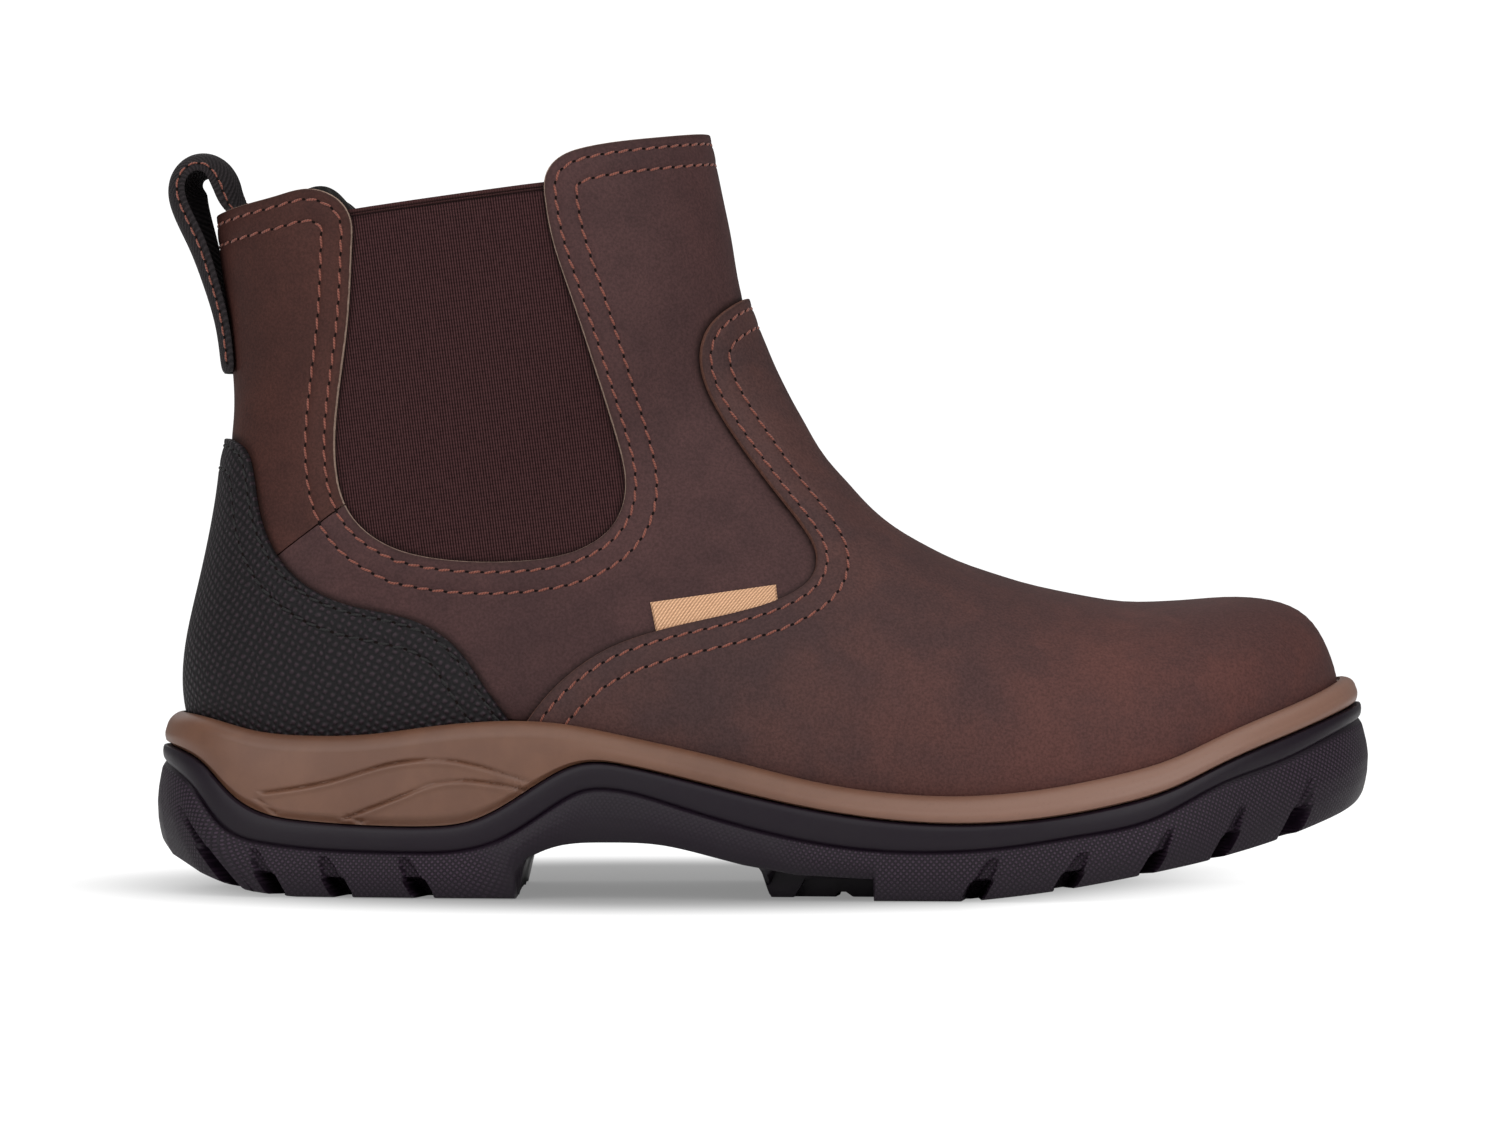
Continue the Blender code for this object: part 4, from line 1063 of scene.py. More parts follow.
def make_counter_cloth():
    """Coated coarse weave: black, with small bumps on a square lattice turned by a third of a right angle;
    the bumps are drawn lighter, partly the coating's tone and partly painted highlight.
    """
    made, tree, shader, coordinates = new_material("counter_weave", Specular_IOR_Level=0.28)
    parts = split(tree, coordinates['UV'])
    wobble = times_add(tree, noise(tree, coordinates['Object'], 240.0), 0.0016, -0.0008)
    turned = [math_node(tree, 'ADD', times_add(tree, parts[0], with_u, times(tree, parts[1], with_v)), wobble)
              for with_u, with_v in ((0.857, 0.515), (0.515, -0.857))]
    waves = place(tree, RIBS, {"Across": turned[0], "Along": turned[1], "Rib": CELL, "Pick": CELL})
    bumps = times(tree, waves["Rib Wave"], waves["Pick Wave"])
    spots = mottle(tree, coordinates['Object'], 60.0, 1500.0)
    # lighter bump tops: partly the coating's tone, partly painted highlight
    bright = times(tree, ramp(tree, bumps, 0.1, 0.75), ramp(tree, spots["Speckle"], 0.3, 0.7, 0.35, 1.0))
    wire(tree, shader, Base_Color=mix(tree, bright, WEAVE_DARK, WEAVE_BUMP_TONE_AND_HIGHLIGHT),
         Roughness=times_add(tree, bumps, -0.25, 0.70))
    bump(tree, shader, times_add(tree, spots["Speckle"], 0.25, bumps), 0.9, 0.0004)
    return made


def make_foam():
    """Moulded foam: even taupe with a soft satin skin, painted lighter towards the toe where the bead faces
    up.
    """
    made, tree, shader, coordinates = new_material("midsole_foam", Specular_IOR_Level=0.45)
    spots = mottle(tree, coordinates['Object'], 34.0, 1300.0)
    tone = mix(tree, spots["Cloud"], FOAM_DARK, FOAM_LIGHT)
    # painted light: paler towards the toe, where the bead faces up to the light
    tone = mix(tree, ramp(tree, split(tree, coordinates['Object'])[0], -0.02, 0.07), tone, FOAM_PAINTED_TOE_LIGHT)
    specks = ramp(tree, spots["Speckle"], 0.55, 0.85, 0.0, 0.25)
    wire(tree, shader, Base_Color=mix(tree, specks, tone, FOAM_SPECK),
         Roughness=times_add(tree, spots["Speckle"], 0.10, 0.36))
    bump(tree, shader, spots["Speckle"], 0.12, 0.0001)
    return made


def make_rubber():
    """Black rubber: smooth rand, fine diamonds on the wall below its groove."""
    made, tree, shader, coordinates = new_material("outsole_rubber", Specular_IOR_Level=0.26)
    parts = split(tree, coordinates['UV'])
    wall = attribute(tree, "wall")
    rise = times(tree, parts[1], 0.93)
    waves = place(tree, RIBS, {"Across": math_node(tree, 'ADD', parts[0], rise), "Rib": DIAMOND,
                               "Along": math_node(tree, 'SUBTRACT', parts[0], rise), "Pick": DIAMOND})
    both = times(tree, waves["Rib Wave"], waves["Pick Wave"])
    diamond = times(tree, ramp(tree, both, 0.05, 0.6), wall)
    spots = mottle(tree, coordinates['Object'], 40.0, 1500.0)
    tone = mix(tree, diamond, RUBBER_DARK, RUBBER_LIGHT)
    dull = times_add(tree, wall, 0.14, 0.34)
    wire(tree, shader, Base_Color=mix(tree, times(tree, spots["Cloud"], 0.2), tone, RUBBER_DUST),
         Roughness=times_add(tree, spots["Speckle"], 0.16, dull))
    bump(tree, shader, times_add(tree, spots["Speckle"], 0.08, diamond), 0.8, 0.0004)
    return made


def make_webbing(name, dark, light, rib, pick):
    """Woven band: diagonal ribs with picks across, on the band's own UV map."""
    made, tree, shader, coordinates = new_material(name, Roughness=0.8, Specular_IOR_Level=0.2)
    parts = split(tree, coordinates['UV'])
    slant = math_node(tree, 'ADD', parts[0], parts[1])
    waves = place(tree, RIBS, {"Across": slant, "Along": parts[1], "Rib": rib, "Pick": pick})
    both = times(tree, waves["Rib Wave"], times_add(tree, waves["Pick Wave"], 0.4, 0.6))
    fuzz = noise(tree, coordinates['Object'], 1800.0, 2.0)
    bright = times_add(tree, fuzz, 0.3, times(tree, both, 0.8))
    wire(tree, shader, Base_Color=mix(tree, bright, (*dark, 1), (*light, 1)))
    bump(tree, shader, times_add(tree, fuzz, 0.3, both), 0.7, 0.0003)
    return made


def make_thread(name, dark, light, sheen=0.2):
    """Sewing thread: fine diagonal twist along the stitch."""
    made, tree, shader, coordinates = new_material(name, Roughness=0.65, Sheen_Weight=sheen,
                                                   Specular_IOR_Level=0.35)
    parts = split(tree, coordinates['UV'])
    twist = place(tree, RIBS, {"Across": times_add(tree, parts[1], 0.5, parts[0]), "Rib": 0.0007})["Rib Wave"]
    bright = times_add(tree, twist, 0.6, times(tree, noise(tree, coordinates['Object'], 900.0), 0.5))
    wire(tree, shader, Base_Color=mix(tree, bright, (*dark, 1), (*light, 1)))
    bump(tree, shader, twist, 0.5, 0.0001)
    return made


def make_cloth(name, dark, light, cell):
    """Plain textile on object coordinates: small cells of two tones."""
    made, tree, shader, coordinates = new_material(name, Roughness=0.9, Sheen_Weight=0.1,
                                                   Specular_IOR_Level=0.2)
    parts = split(tree, coordinates['Object'])
    along = math_node(tree, 'SUBTRACT', math_node(tree, 'ADD', parts[2], parts[0]), parts[1])
    waves = place(tree, RIBS, {"Across": math_node(tree, 'ADD', parts[0], parts[1]), "Along": along,
                               "Rib": cell, "Pick": cell})
    both = times(tree, waves["Rib Wave"], waves["Pick Wave"])
    fuzz = noise(tree, coordinates['Object'], 700.0, 3.0)
    bright = times_add(tree, fuzz, 0.4, times(tree, both, 0.6))
    wire(tree, shader, Base_Color=mix(tree, bright, (*dark, 1), (*light, 1)))
    bump(tree, shader, times_add(tree, fuzz, 0.3, both), 0.5, 0.0003)
    return made


def make_hole_shade():
    """Needle hole: near black as painted shade in the hole, with a little unevenness."""
    made, tree, shader, coordinates = new_material("needle_hole_shade", Roughness=0.95, Specular_IOR_Level=0.1)
    spots = noise(tree, coordinates['Object'], 800.0)
    wire(tree, shader, Base_Color=mix(tree, spots, HOLE_SHADE_DARK, HOLE_SHADE_LIGHT))
    return made


leather = make_leather("upper_leather", (0.0455, 0.0223, 0.0222), (0.0600, 0.0282, 0.0274), *PALE_FIBRE)
back_leather = make_leather("back_leather", (0.0415, 0.0162, 0.0134), (0.0556, 0.0208, 0.0162), *PALE_FIBRE)
# the vamp's toe tint: partly its redder tone, partly painted light on the toe
vamp_leather = make_leather("vamp_leather", (0.0480, 0.0260, 0.0255), (0.0680, 0.0320, 0.0285), *BROWN_FIBRE,
                            toe=(1.32, 1.08, 1.02))
elastic = make_elastic()
counter_cloth = make_counter_cloth()
foam = make_foam()
rubber = make_rubber()
webbing = make_webbing("loop_webbing", (0.0045, 0.0032, 0.0036), (0.026, 0.020, 0.022), 0.0016, 0.0009)
tab_weave = make_webbing("tab_weave", (0.30, 0.155, 0.080), (0.86, 0.52, 0.32), 0.0010, 0.0007)
rust_thread = make_thread("rust_thread", (0.062, 0.0145, 0.0088), (0.285, 0.083, 0.052))
black_thread = make_thread("black_thread", (0.003, 0.003, 0.003), (0.011, 0.010, 0.010), sheen=0.04)
lining_cloth = make_cloth("lining_cloth", (0.006, 0.0055, 0.0055), (0.030, 0.027, 0.026), 0.0022)
insole_cloth = make_cloth("insole_cloth", (0.020, 0.018, 0.017), (0.075, 0.068, 0.062), 0.0018)
needle_hole_shade = make_hole_shade()


# Leather panels and heel counter

def lens_rows(edge, side, far_end, columns, count, passes, pairs=None):
    """Rows of a panel between a cut edge and the feather line, from where they meet to the middle plane."""
    rows = edge_rows(edge, side, above_feather, columns)
    far = feather_row(rows[-1][0, 0], far_end, columns)
    if pairs is not None:
        far = matched(far, rows[-1], pairs, columns)
    far[0] = rows[-1][0]
    far[-1] = [far_end, edge[-1, 1]]
    return fill_rows(rows, far, count, passes)


def quarter_rows(columns):
    """Rows of the quarters, the front of the shaft and the sides below the elastic: from the window and the
    collar to the edge hidden under counter and vamp."""
    edge = edge_row(np.concatenate([GORE_EDGE[2:], COLLAR_FRONT]), 0.0)
    rows = edge_rows(edge, -1, below_slant, columns)
    far = matched(edge_row(QUARTER_HIDDEN, 0.0), rows[-1], QUARTER_PAIRS, columns)
    return fill_rows(rows, far, count=60, passes=200)


def back_rows(columns):
    """Rows of the back panel, the strip round the back of the shaft: from the window and the collar to the
    slanting seam and the edge hidden under the counter."""
    edge = edge_row(np.concatenate([GORE_EDGE[6::-1], COLLAR_BACK]), np.pi)
    rows = edge_rows(edge, 1, above_slant, columns)
    start = surface(rows[-1][:1])[0, [0, 2]]
    seam = start + np.linspace(0, 1, 6)[:-1, None] * (SLANT_SEAM[0] - start)
    far = matched(edge_row(np.concatenate([seam, BACK_HIDDEN]), np.pi), rows[-1], BACK_PAIRS, columns)
    far[0] = rows[-1][0]
    return fill_rows(rows, far, count=44, passes=600)


rows = lens_rows(edge_row(VAMP_EDGE, 0.0), -1, TOE_U, columns=170, count=64, passes=3000, pairs=VAMP_PAIRS)
sewn = panel("vamp_cover", rows, 0.0, VAMP_FACE, BED, STITCH_ROWS, SKIVE, vamp_leather, ("vamp",))
sew("vamp_stitches", sewn, rust_thread)
rows = quarter_rows(columns=190)
sewn = panel("quarters", rows, 0.0, 0.0, LEATHER_INSIDE, STITCH_ROWS, 0.0, leather, ("upper",),
             covers=(VAMP_EDGE, COUNTER_EDGE))
sew("quarter_stitches", sewn, rust_thread)
rows = back_rows(columns=150)
sewn = panel("back_panel", rows, np.pi, 0.0, LEATHER_INSIDE, STITCH_ROWS, 0.0, back_leather,
             ("upper",), covers=(COUNTER_EDGE,))
sew("back_stitches", sewn, rust_thread, pitch=BACK_PITCH)
rows = lens_rows(edge_row(COUNTER_EDGE, np.pi), 1, HEEL_U, columns=130, count=50, passes=200)
sewn = panel("counter_cover", rows, np.pi, COUNTER_FACE, BED, COUNTER_ROWS, SKIVE, counter_cloth,
             ("heel_counter",), uv=heel_wrap)
sew("counter_stitches", sewn, black_thread, radius=COUNTER_THREAD)


# Elastic and lining

def gore_grid(line):
    """Grid of an elastic panel inside its outline: rows across from the back edge of the window to its front
    edge, closer together near the top, bottom to top."""
    low = int(np.argmin(line[:, 1]))
    rising = np.concatenate([np.linspace(0, 0.955, 60), np.linspace(0.958, 1, 27)])
    rising = np.round((GORE_STEPS - 1) * rising).astype(int)
    back, front = (evenly(on_last(edge[edge[:, 1] < table_at(GORE_TOP, edge[:, 0])]), GORE_STEPS)[rising]
                   for edge in (line[low::-1], line[low:]))
    share = np.linspace(0, 1, GORE_ACROSS)[None, :, None]
    return (1 - share) * back[:, None] + share * front[:, None]


def make_elastic_panels():
    """Elastic panels: sunk and tucked under the leather all round, swelling inside the window, with a folded
    top sewn down by two seams."""
    line = smooth_line(np.concatenate([COLLAR_BACK[1::-1], GORE_EDGE, COLLAR_FRONT[:3]]))
    run = unit(np.gradient(line, axis=0))
    line = line + GORE_TUCK * np.column_stack([run[:, 1], -run[:, 0]])
    grid = gore_grid(line)
    side_view = surface(grid)[..., [0, 2]]
    gap = np.linalg.norm(side_view.reshape(-1, 1, 2) - line[None, ::6], axis=-1)
    inside = np.min(gap, axis=1).reshape(side_view.shape[:2]) - GORE_TUCK
    top = table_at(GORE_TOP, side_view[..., 0]) - side_view[..., 1]
    folded = 1 - smooth_step(top, GORE_FOLD - 0.3, GORE_FOLD)
    fold = FOLD_LIFT * folded
    # painted shade along the window's edge, added to the dark of the fold's seams
    seams = PAINTED_RIM_SHADE * bell(np.maximum(inside, 0), PAINTED_RIM_SHADE_WIDTH)
    for at, deep, dark in GORE_SEAMS:
        fold = fold - deep * bell(top - at, SEAM_WIDTH)
        seams = seams + bell(top - at, dark)
    fold = fold - FOLD_LIFT * np.clip(1 - top / FOLD_ROUND, 0, 1) ** 2
    out = GORE_SUNK + GORE_SWELL * smooth_step(inside, -0.5, 6) + fold * smooth_step(inside, -1.5, 0.5)
    values = {"fold": on_outside(folded), "seam": on_outside(np.clip(seams, 0, 1))}
    for side, sign in (("lateral", 1), ("medial", -1)):
        points = sheets(grid * [1, sign], out, GORE_BACK)
        piece("elastic_" + side, points, shell_quads(*grid.shape[:2]), elastic, ("gore_" + side,),
              values=values)


def make_lining():
    """Lining: the whole inside, in equal shares from just under the collar down to the feather line."""
    low = whole_side(LINING_STEPS)
    top = evenly(edge_row(LINING_TOP, np.pi), LINING_STEPS)
    top[0, 1] = 0.0
    share = np.linspace(0, 1, LINING_DOWN)[:, None, None]
    half = (1 - share) * top + share * low
    grid = np.concatenate([half, mirrored(half, np.pi)[:, :-1]], axis=1)
    piece("lining", sheets(grid, LINING_OUTSIDE, LINING_INSIDE), shell_quads(*grid.shape[:2], closed=True),
          lining_cloth, ("upper",))


make_elastic_panels()
make_lining()


# Sole

WAVE_DEPTH, WAVE_WIDTH = 0.85, 0.38
WAVE_SWELL, WAVE_SWELL_AT, WAVE_SWELL_WIDTH = 0.30, 1.0, 0.6    # swell below a wave line
NICK_SHARE = 0.8        # depth of a nick, as a share of a wave's
WALL_BULGE = 0.45
WALL_FOOT = 0.86        # share of the midsole wall's height where it begins to turn in
FOOT_REACH = 6.0        # reach of the lugs' feet
NO_RECESS = -9.0        # height that stands for none
NOTCH_RISE = 1.2        # how far a notch begins above its head
NOTCH_SOFT = 0.3        # softness of its sides, in widths
SLOT_SOFT = 0.2
CHANNEL_FORE, CHANNEL_HEEL = (6, 9), (60.5, 62)     # x ahead of and behind 0 where the channel sets in
DIAMOND_TOP = 0.05      # share of the lugs' height above which there are no diamonds
DIAMOND_FADE, DIAMOND_FADE_AT = 0.75, (0.3, 0.9)    # how they fade downwards
ARCH_FADE, ARCH_BACK, ARCH_FRONT = 0.85, (-66, -58), (0, 14)    # and in the arch, by x

UNDERSIDE = np.concatenate([smooth_line(HEEL_UNDER[:7], 2.0), HEEL_UNDER[7:], smooth_line(ARCH_UNDER, 2.0),
                            FORE_UNDER[:1], smooth_line(FORE_UNDER[1:], 2.0)])


def ground(x):
    """Height of the outsole's underside, lugs standing on it."""
    return table_at(UNDERSIDE, x)


def swell(q, column):
    """How much further the sole reaches at places along its outline, from a column of the table."""
    return table_at(SWELL, sole_x(q), column)


def stack(name, rings, material, stands_for, uv=None, values=None, sharp=45):
    """Closed solid from rings of paired points: walls between rings, rungs from side to side at both ends."""
    count, around = rings.shape[:2]
    rung = np.arange(around // 2)
    other = (around - rung) % around
    after = (around - rung - 1) % around
    cap = np.stack([rung, rung + 1, after, other], axis=1)
    quads = [grid_quads(count, around, closed=True), cap[:, ::-1], cap + (count - 1) * around]
    piece(name, rings, np.concatenate(quads), material, stands_for, uv, values, sharp)


def moulding(points):
    """Depth of the waves moulded into the midsole's wall: a narrow groove along each line, a soft swell
    below."""
    x, z = points.T
    total = np.zeros(len(points))
    for line, deep in ((WAVE_UPPER, 1.0), (WAVE_LOWER, 1.0), *((nick, NICK_SHARE) for nick in WAVE_NICKS)):
        gap = gap_to(points, line)
        below = np.where(z < table_at(line, x), gap, -gap)
        rise = WAVE_SWELL * bell(below - WAVE_SWELL_AT, WAVE_SWELL_WIDTH)
        total += deep * (WAVE_DEPTH * bell(gap, WAVE_WIDTH) - rise)
    return total


def make_midsole():
    """Midsole: rings over a rounded bead under the upper and down a wall, tall at the heel, that bulges a
    little, turns in at its foot and has moulded waves."""
    q = np.linspace(0, 2, MIDSOLE_STEPS, endpoint=False)
    more = swell(q, 1)
    rings = []
    for drop, reach in BEAD:
        xy = sole_xy(q, reach + more)
        rings.append(np.column_stack([xy, height(FEATHER, xy[:, 0]) - FIT / 2 - drop]))
    bead_drop, bead_reach = BEAD[-1]
    for share in np.linspace(0, 1, WALL_RINGS)[1:]:
        bulge = bead_reach + more + WALL_BULGE * np.sin(np.pi * share) - smooth_step(share, WALL_FOOT, 1.0)
        x = sole_x(q, bulge)
        top = height(FEATHER, x) - FIT / 2 - bead_drop
        z = top + share * (height(MIDSOLE_LOW, x) + FIT / 2 - top)
        rings.append(np.column_stack([sole_xy(q, bulge - moulding(np.column_stack([x, z]))), z]))
    rings.append(np.column_stack([sole_xy(q, BEAD[0, 1]), z]))
    stack("midsole_body", np.array(rings), foam, ("midsole",))


def where_x(x):
    """Place along the outline, 0 to 1 from toe to heel, of the given x."""
    return np.interp(-np.asarray(x), -SIDE_X, SIDE_Q)


def outsole_places(notch_q):
    """Places along the outline for the outsole's columns: even steps, and closer ones at the notches, at the
    slots and where heel, arch, recess and forefoot begin."""
    special = np.concatenate([(notch_q[:, None] + NOTCH_COLUMNS / HALF_LENGTH).reshape(-1),
                              where_x(EDGE_COLUMNS), where_x((SLOTS[:, None] + SLOT_COLUMNS).reshape(-1))])
    even = np.linspace(0, 1, OUTSOLE_STEPS)
    near = np.min(np.abs(even[:, None] - special[None]), axis=1)
    places = np.sort(np.concatenate([even[(near > 0.5 / HALF_LENGTH) | (even == 0) | (even == 1)], special]))
    return np.concatenate([places, 2 - places[-2:0:-1]])


def leaning(q, level):
    """Places along the outline at a height, slid along it by the lugs' lean below the groove."""
    x = sole_x(q)
    side = np.where(q <= 1, 1.0, -1.0)
    return q - side * table_at(LEAN, x) * (level - height(RAND_GROOVE, x)) / HALF_LENGTH


def lug_feet(q):
    """Foot of the outsole's wall at places along the outline: its x, the underside's height there, and its
    own height, which is above that in the recess behind the ball. The lean moves the foot, so this runs three
    times."""
    level = ground(sole_x(q))
    for again in range(3):
        x = sole_x(leaning(q, level), FOOT_REACH)
        bare = ground(x)
        level = np.maximum(bare, np.interp(x, *WAIST_RECESS.T, left=NO_RECESS, right=NO_RECESS))
    return x, bare, level


def hollow(share, off, width):
    """Depth of a side notch by share of its height, distance from its middle and width: it widens and deepens
    from its head to its open foot."""
    half = table_at(NOTCH_FORM, share, 1) * width
    edge = NOTCH_SOFT * width
    return table_at(NOTCH_FORM, share, 2) * (share > 0) * (1 - smooth_step(off, half - edge, half + edge))


def wall_uv(rings, q, groove):
    """UV of the outsole's wall: length along the groove and distance from it, so that the diamonds follow its
    slope."""
    line = height(RAND_GROOVE, SIDE_X)
    slope = np.gradient(line, SIDE_Q * HALF_LENGTH)
    run = lengths(np.column_stack([SIDE_Q * HALF_LENGTH, line]))
    places = np.array([leaning(q, np.minimum(ring[:, 2], groove)) for ring in rings])
    places = np.where(places <= 1, places, 2 - places)
    above, incline, along = (np.interp(places, SIDE_Q, column) for column in (line, slope, run))
    away = (rings[..., 2] - above) / np.hypot(1, incline)
    return np.stack([along + away * incline, away], axis=-1) * MM


def make_outsole():
    """Outsole: rings down the rand to its groove, down the leaning lugs with their side notches, and in over
    the tread with its channels and cross slots."""
    foot_x, foot_z, head_x, head_z = NOTCHES.T
    lean = (head_x - foot_x) / (head_z - foot_z)
    notch_q = where_x(head_x + lean * (height(RAND_GROOVE, head_x) - head_z))
    q = outsole_places(notch_q)
    off = np.abs(np.where(q <= 1, q, 2 - q)[:, None] - notch_q[None]) * HALF_LENGTH
    nearest = np.argmin(off, axis=1)
    notch_top = head_z[nearest] + NOTCH_RISE
    wall_x, bare, level = lug_feet(q)
    rand_swell, lug_swell = swell(q, 2), swell(q, 3)
    rings = []
    for share, reach in BAND:
        xy = sole_xy(q, reach + rand_swell)
        high = height(MIDSOLE_LOW, xy[:, 0]) - FIT / 2
        rings.append(np.column_stack([xy, high + share * (height(RAND_GROOVE, xy[:, 0]) - high)]))
    groove = rings[-1][:, 2]
    for share in LUG_SHARE:
        z = groove + share * (level - groove)
        notch = hollow((notch_top - z) / (notch_top - level), np.min(off, axis=1), NOTCH_WIDTH[nearest])
        fuller = rand_swell + smooth_step(share, 0.0, 0.5) * (lug_swell - rand_swell)
        wall_reach = table_at(LUG_WALL, share) + fuller - notch
        rings.append(np.column_stack([sole_xy(leaning(q, z), wall_reach), z]))
    foot_q = leaning(q, level)
    channel = CHANNEL_DEPTH * (smooth_step(wall_x, *CHANNEL_FORE) + smooth_step(-wall_x, *CHANNEL_HEEL))
    slot_gap = np.abs(wall_x[:, None] - SLOTS[None])
    slot = (1 - smooth_step(slot_gap, SLOT_HALF - SLOT_SOFT, SLOT_HALF + SLOT_SOFT)) @ SLOT_DEPTH
    for reach in TREAD:
        xy = sole_xy(foot_q, np.minimum(reach, wall_reach))
        if reach > CHANNEL[0]:
            lift = level - bare
        elif reach > CHANNEL[1]:
            lift = channel
        else:
            lift = slot
        rings.append(np.column_stack([xy, ground(xy[:, 0]) + lift]))
    rings = np.array(rings)
    patterned = np.zeros((len(rings), 1))
    lugs = slice(len(BAND), len(BAND) + len(LUG_SHARE))
    fade = 1 - DIAMOND_FADE * smooth_step(LUG_SHARE, *DIAMOND_FADE_AT)
    patterned[lugs, 0] = (LUG_SHARE > DIAMOND_TOP) * fade
    arch = smooth_step(wall_x, *ARCH_BACK) * (1 - smooth_step(wall_x, *ARCH_FRONT))
    stack("outsole_body", rings, rubber, ("outsole",), uv=wall_uv(rings, q, groove),
          values={"wall": patterned * (1 - ARCH_FADE * arch)}, sharp=38)


def make_insole():
    """Insole: a soft slab inside, rings from its underside over its rounded rim to a slightly dished top."""
    q = np.linspace(0, 2, INSOLE_STEPS, endpoint=False)
    rings = []
    for reach, lift in INSOLE_RINGS:
        xy = sole_xy(q, reach)
        rings.append(np.column_stack([xy, height(FEATHER, xy[:, 0]) + lift]))
    stack("insole_pad", np.array(rings), insole_cloth, ("insole",))


make_midsole()
make_outsole()
make_insole()


# Pull loop and side tab

LOOP_FLAT = (0.35, 0.6)             # powers that square the oval of its section, across and through
LOOP_TAPER, LOOP_THIN = 40, 0.25    # power of the thinning towards its ends, and the least thickness
LOOP_SELVEDGE = 0.92                # place of the stitch rows, as a share of the half width
LOOP_SEWN = 0.46                    # height of the thread, in thicknesses
TAB_EDGE, TAB_RISE, TAB_SINK = 0.30, 0.55, 0.66     # face at the border, rise from there, sinking
TAB_SINK_AT = (0.55, 0.9)           # where it sinks, as shares of the way down
TAB_ROUND = 0.4                     # width of the rounded border
TAB_SPAN = (30, 9)                  # length and width that the border is counted in


def make_pull_loop():
    """Pull loop: webbing carried along its line, its section a flattened oval whose edges bend round the
    heel, thinner at both ends; a row of stitches along each selvedge."""
    along = lengths(PULL_LOOP[:, :2])
    path = spline(along, PULL_LOOP, np.linspace(0, along[-1], LOOP_STEPS))
    run = unit(np.gradient(path[:, :2], axis=0))
    out = np.column_stack([-run[:, 1], np.zeros(LOOP_STEPS), run[:, 0]])

    def webbing_point(step, across, lift):
        """Point at a step along the line, across the width (-1 to 1) and out from the middle."""
        lift = lift - np.where(across < 0, path[step, 2], path[step, 3]) * across ** 2
        return np.stack([path[step, 0] + lift * out[step, 0], across * LOOP_WIDTH / 2 + 0 * lift,
                         path[step, 1] + lift * out[step, 2]], axis=-1)

    angle = np.linspace(0, 2 * np.pi, LOOP_AROUND, endpoint=False)
    wide = np.sign(np.cos(angle)) * np.abs(np.cos(angle)) ** LOOP_FLAT[0]
    deep = np.sign(np.sin(angle)) * np.abs(np.sin(angle)) ** LOOP_FLAT[1]
    taper = np.sqrt(np.clip(1 - np.linspace(-1, 1, LOOP_STEPS) ** LOOP_TAPER, 0, 1))
    taper = np.maximum(taper, LOOP_THIN)
    rings = webbing_point(np.arange(LOOP_STEPS)[:, None], wide[None], LOOP_THICK / 2 * deep * taper[:, None])
    middles = np.repeat(rings.mean(axis=1, keepdims=True), LOOP_AROUND, axis=1)
    uv = np.broadcast_arrays(wide[None] * LOOP_WIDTH / 2, lengths(path[:, :2])[:, None])
    uv = np.stack(uv, axis=-1) * MM
    piece("loop_band", np.concatenate([middles[:1], rings, middles[-1:]]),
          grid_quads(LOOP_STEPS + 2, LOOP_AROUND, closed=True), webbing, ("pull_loop",),
          uv=np.concatenate([uv[:1], uv, uv[-1:]]))
    inner = np.arange(3, LOOP_STEPS - 3)
    rows = [(webbing_point(inner, np.full(len(inner), selvedge), LOOP_SEWN * LOOP_THICK), out[inner])
            for selvedge in (LOOP_SELVEDGE, -LOOP_SELVEDGE)]
    sew_paths("loop_stitches", rows, rust_thread, LOOP_PITCH, LOOP_THREAD, LOOP_SLANT)


def make_side_tab():
    """Small woven tab, tucked under the vamp's edge: straight between its corners in side view, laid on the
    last, with rounded borders, and sinking towards the edge that it is tucked under."""
    along, down = np.meshgrid(np.linspace(0, 1, TAB_ALONG), np.linspace(0, 1, TAB_DOWN), indexing='xy')
    top = SIDE_TAB[0] + along[..., None] * (SIDE_TAB[1] - SIDE_TAB[0])
    low = SIDE_TAB[3] + along[..., None] * (SIDE_TAB[2] - SIDE_TAB[3])
    side_view = top + down[..., None] * (low - top)
    grid = on_last(side_view.reshape(-1, 2)).reshape(TAB_DOWN, TAB_ALONG, 2)
    border = np.minimum(np.minimum(along, 1 - along) * TAB_SPAN[0], down * TAB_SPAN[1])
    out = TAB_EDGE + TAB_RISE * np.sqrt(np.clip(border, 0, TAB_ROUND) / TAB_ROUND)
    out = out - TAB_SINK * smooth_step(down, *TAB_SINK_AT)
    uv = np.stack([along * TAB_LENGTH, down * TAB_WIDTH], axis=-1) * MM
    piece("side_tab", sheets(grid, out, TAB_BACK), shell_quads(TAB_DOWN, TAB_ALONG), tab_weave,
          uv=np.stack([uv, uv]))


make_pull_loop()
make_side_tab()


# Floor, light and camera; here lengths are metres, apart from the camera's place

FLOOR_Z = -0.0002
FLOOR_HALF = 6.0
SHADE_TURN = 0.045                  # x where the shade on the floor begins to be drawn back
SHADE_SHEAR = -0.8
SHADE_ALONG = (6.8, 0.177)          # scale and shift of the shade's oval along and across the boot
SHADE_ACROSS = (7.2, -0.245)
SHADE_SEEN = (0.58, 1.2, 0.235, 1.0)    # radius where it is deepest and where it ends, brightness at both
SHADE_LIT = (0.7, 1.15)             # the same radii for the painted shade in the paper's tone, as the boot's light sees it
PAPER_SHADED, PAPER_CLEAR = 0.84, 0.92
PAPER_SEEN = 0.17                   # the paper's own tone to the camera, under its brightness
SKY_LIGHT, SKY_SEEN, SKY_GLOSS = 0.34, 0.75, -0.12      # strength, and what is added for the camera and gloss
CAMERA_PLACE = np.array([-2.9, -1500.0, 81.6])


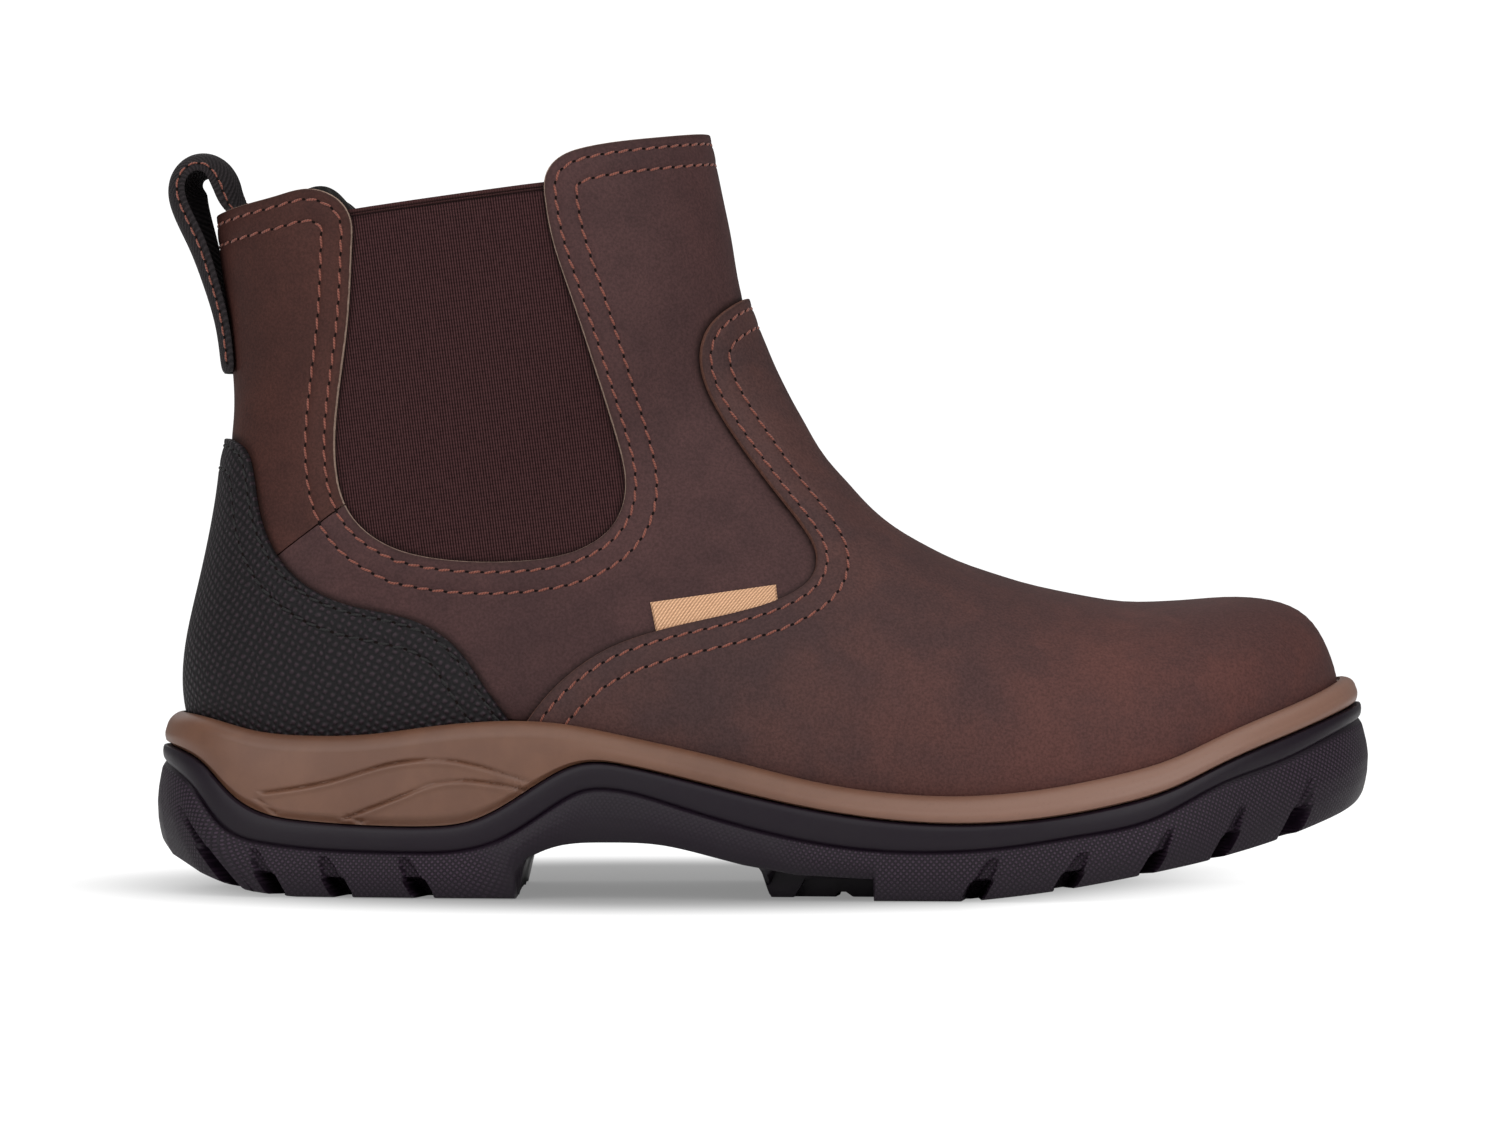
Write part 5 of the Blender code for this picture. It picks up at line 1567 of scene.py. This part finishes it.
def make_floor():
    """Paper floor, a little under the sole. The camera sees it glowing white, with a soft grey oval of
    painted shade round the heel and the arch, drawn back from the lateral side towards the toe; to the
    boot's light it is pale paper, a little darker in the same oval, again as painted shade."""
    mesh = bpy.data.meshes.new("floor")
    corners = [(x * FLOOR_HALF, y * FLOOR_HALF, FLOOR_Z) for x, y in ((-1, -1), (1, -1), (1, 1), (-1, 1))]
    mesh.from_pydata(corners, [], [(0, 1, 2, 3)])
    floor = bpy.data.objects.new("floor", mesh)
    bpy.context.scene.collection.objects.link(floor)
    paper, tree, shader, coordinates = new_material("floor_paper", Roughness=0.9, Specular_IOR_Level=0.1,
                                                    Emission_Color=grey(1.0))
    parts = split(tree, coordinates['Object'])
    ahead = math_node(tree, 'MAXIMUM', math_node(tree, 'SUBTRACT', parts[0], SHADE_TURN), 0.0)
    across = times_add(tree, ahead, SHADE_SHEAR, parts[1])
    oval = node(tree, 'ShaderNodeCombineXYZ', {0: times_add(tree, parts[0], *SHADE_ALONG),
                                               1: times_add(tree, across, *SHADE_ACROSS)}).outputs[0]
    away = node(tree, 'ShaderNodeVectorMath', {0: oval}, operation='LENGTH').outputs['Value']
    seen = node(tree, 'ShaderNodeLightPath').outputs['Is Camera Ray']
    # painted shade in the paper's tone, inside the same oval
    pale = mix(tree, ramp(tree, away, *SHADE_LIT), grey(PAPER_SHADED), grey(PAPER_CLEAR))
    # to the camera the paper glows white, less inside the oval: a painted shadow
    wire(tree, shader, Base_Color=mix(tree, seen, pale, grey(PAPER_SEEN)),
         Emission_Strength=times(tree, seen, ramp(tree, away, *SHADE_SEEN)))
    mesh.materials.append(paper)


def make_sky():
    """Even white surroundings: bright to the camera, weaker as light, weaker still in reflections."""
    world = bpy.data.worlds.new("studio")
    world.use_nodes = True
    bpy.context.scene.world = world
    tree = world.node_tree
    sky = tree.nodes['Background'].inputs
    sky['Color'].default_value = grey(1.0)
    rays = node(tree, 'ShaderNodeLightPath').outputs
    dim = times_add(tree, rays['Is Glossy Ray'], SKY_GLOSS, SKY_LIGHT)
    wire(tree, sky, Strength=times_add(tree, rays['Is Camera Ray'], SKY_SEEN, dim))


def area_light(name, spot, aim, size, power):
    """Soft square light aimed at a point."""
    lamp = bpy.data.lights.new(name, 'AREA')
    lamp.size = size
    lamp.energy = power
    thing = bpy.data.objects.new(name, lamp)
    bpy.context.scene.collection.objects.link(thing)
    thing.location = spot
    thing.rotation_euler = (Vector(aim) - Vector(spot)).to_track_quat('-Z', 'Y').to_euler()


def make_camera():
    """Level camera square to the lateral side, a little below the boot's middle, with a long lens."""
    camera = bpy.data.cameras.new("camera")
    camera.sensor_width = 36.0
    camera.lens = 144.0
    eye = bpy.data.objects.new("camera", camera)
    bpy.context.scene.collection.objects.link(eye)
    eye.location = (CAMERA_PLACE + SHIFT) * MM
    eye.rotation_euler = (math.pi / 2, 0, 0)
    bpy.context.scene.camera = eye
    bpy.context.scene.view_settings.view_transform = 'Standard'


make_floor()
make_sky()
area_light("top_softbox", (0.1, -0.4, 1.5), (0, 0, 0.05), 2.0, 13)
area_light("toe_softbox", (1.0, -1.5, 0.8), (0, 0, 0.10), 1.4, 14)
area_light("heel_softbox", (-1.0, -1.2, 0.8), (0, 0, 0.10), 1.4, 11)
area_light("back_softbox", (-0.5, 1.3, 1.1), (0, 0, 0.1), 1.4, 4)
make_camera()
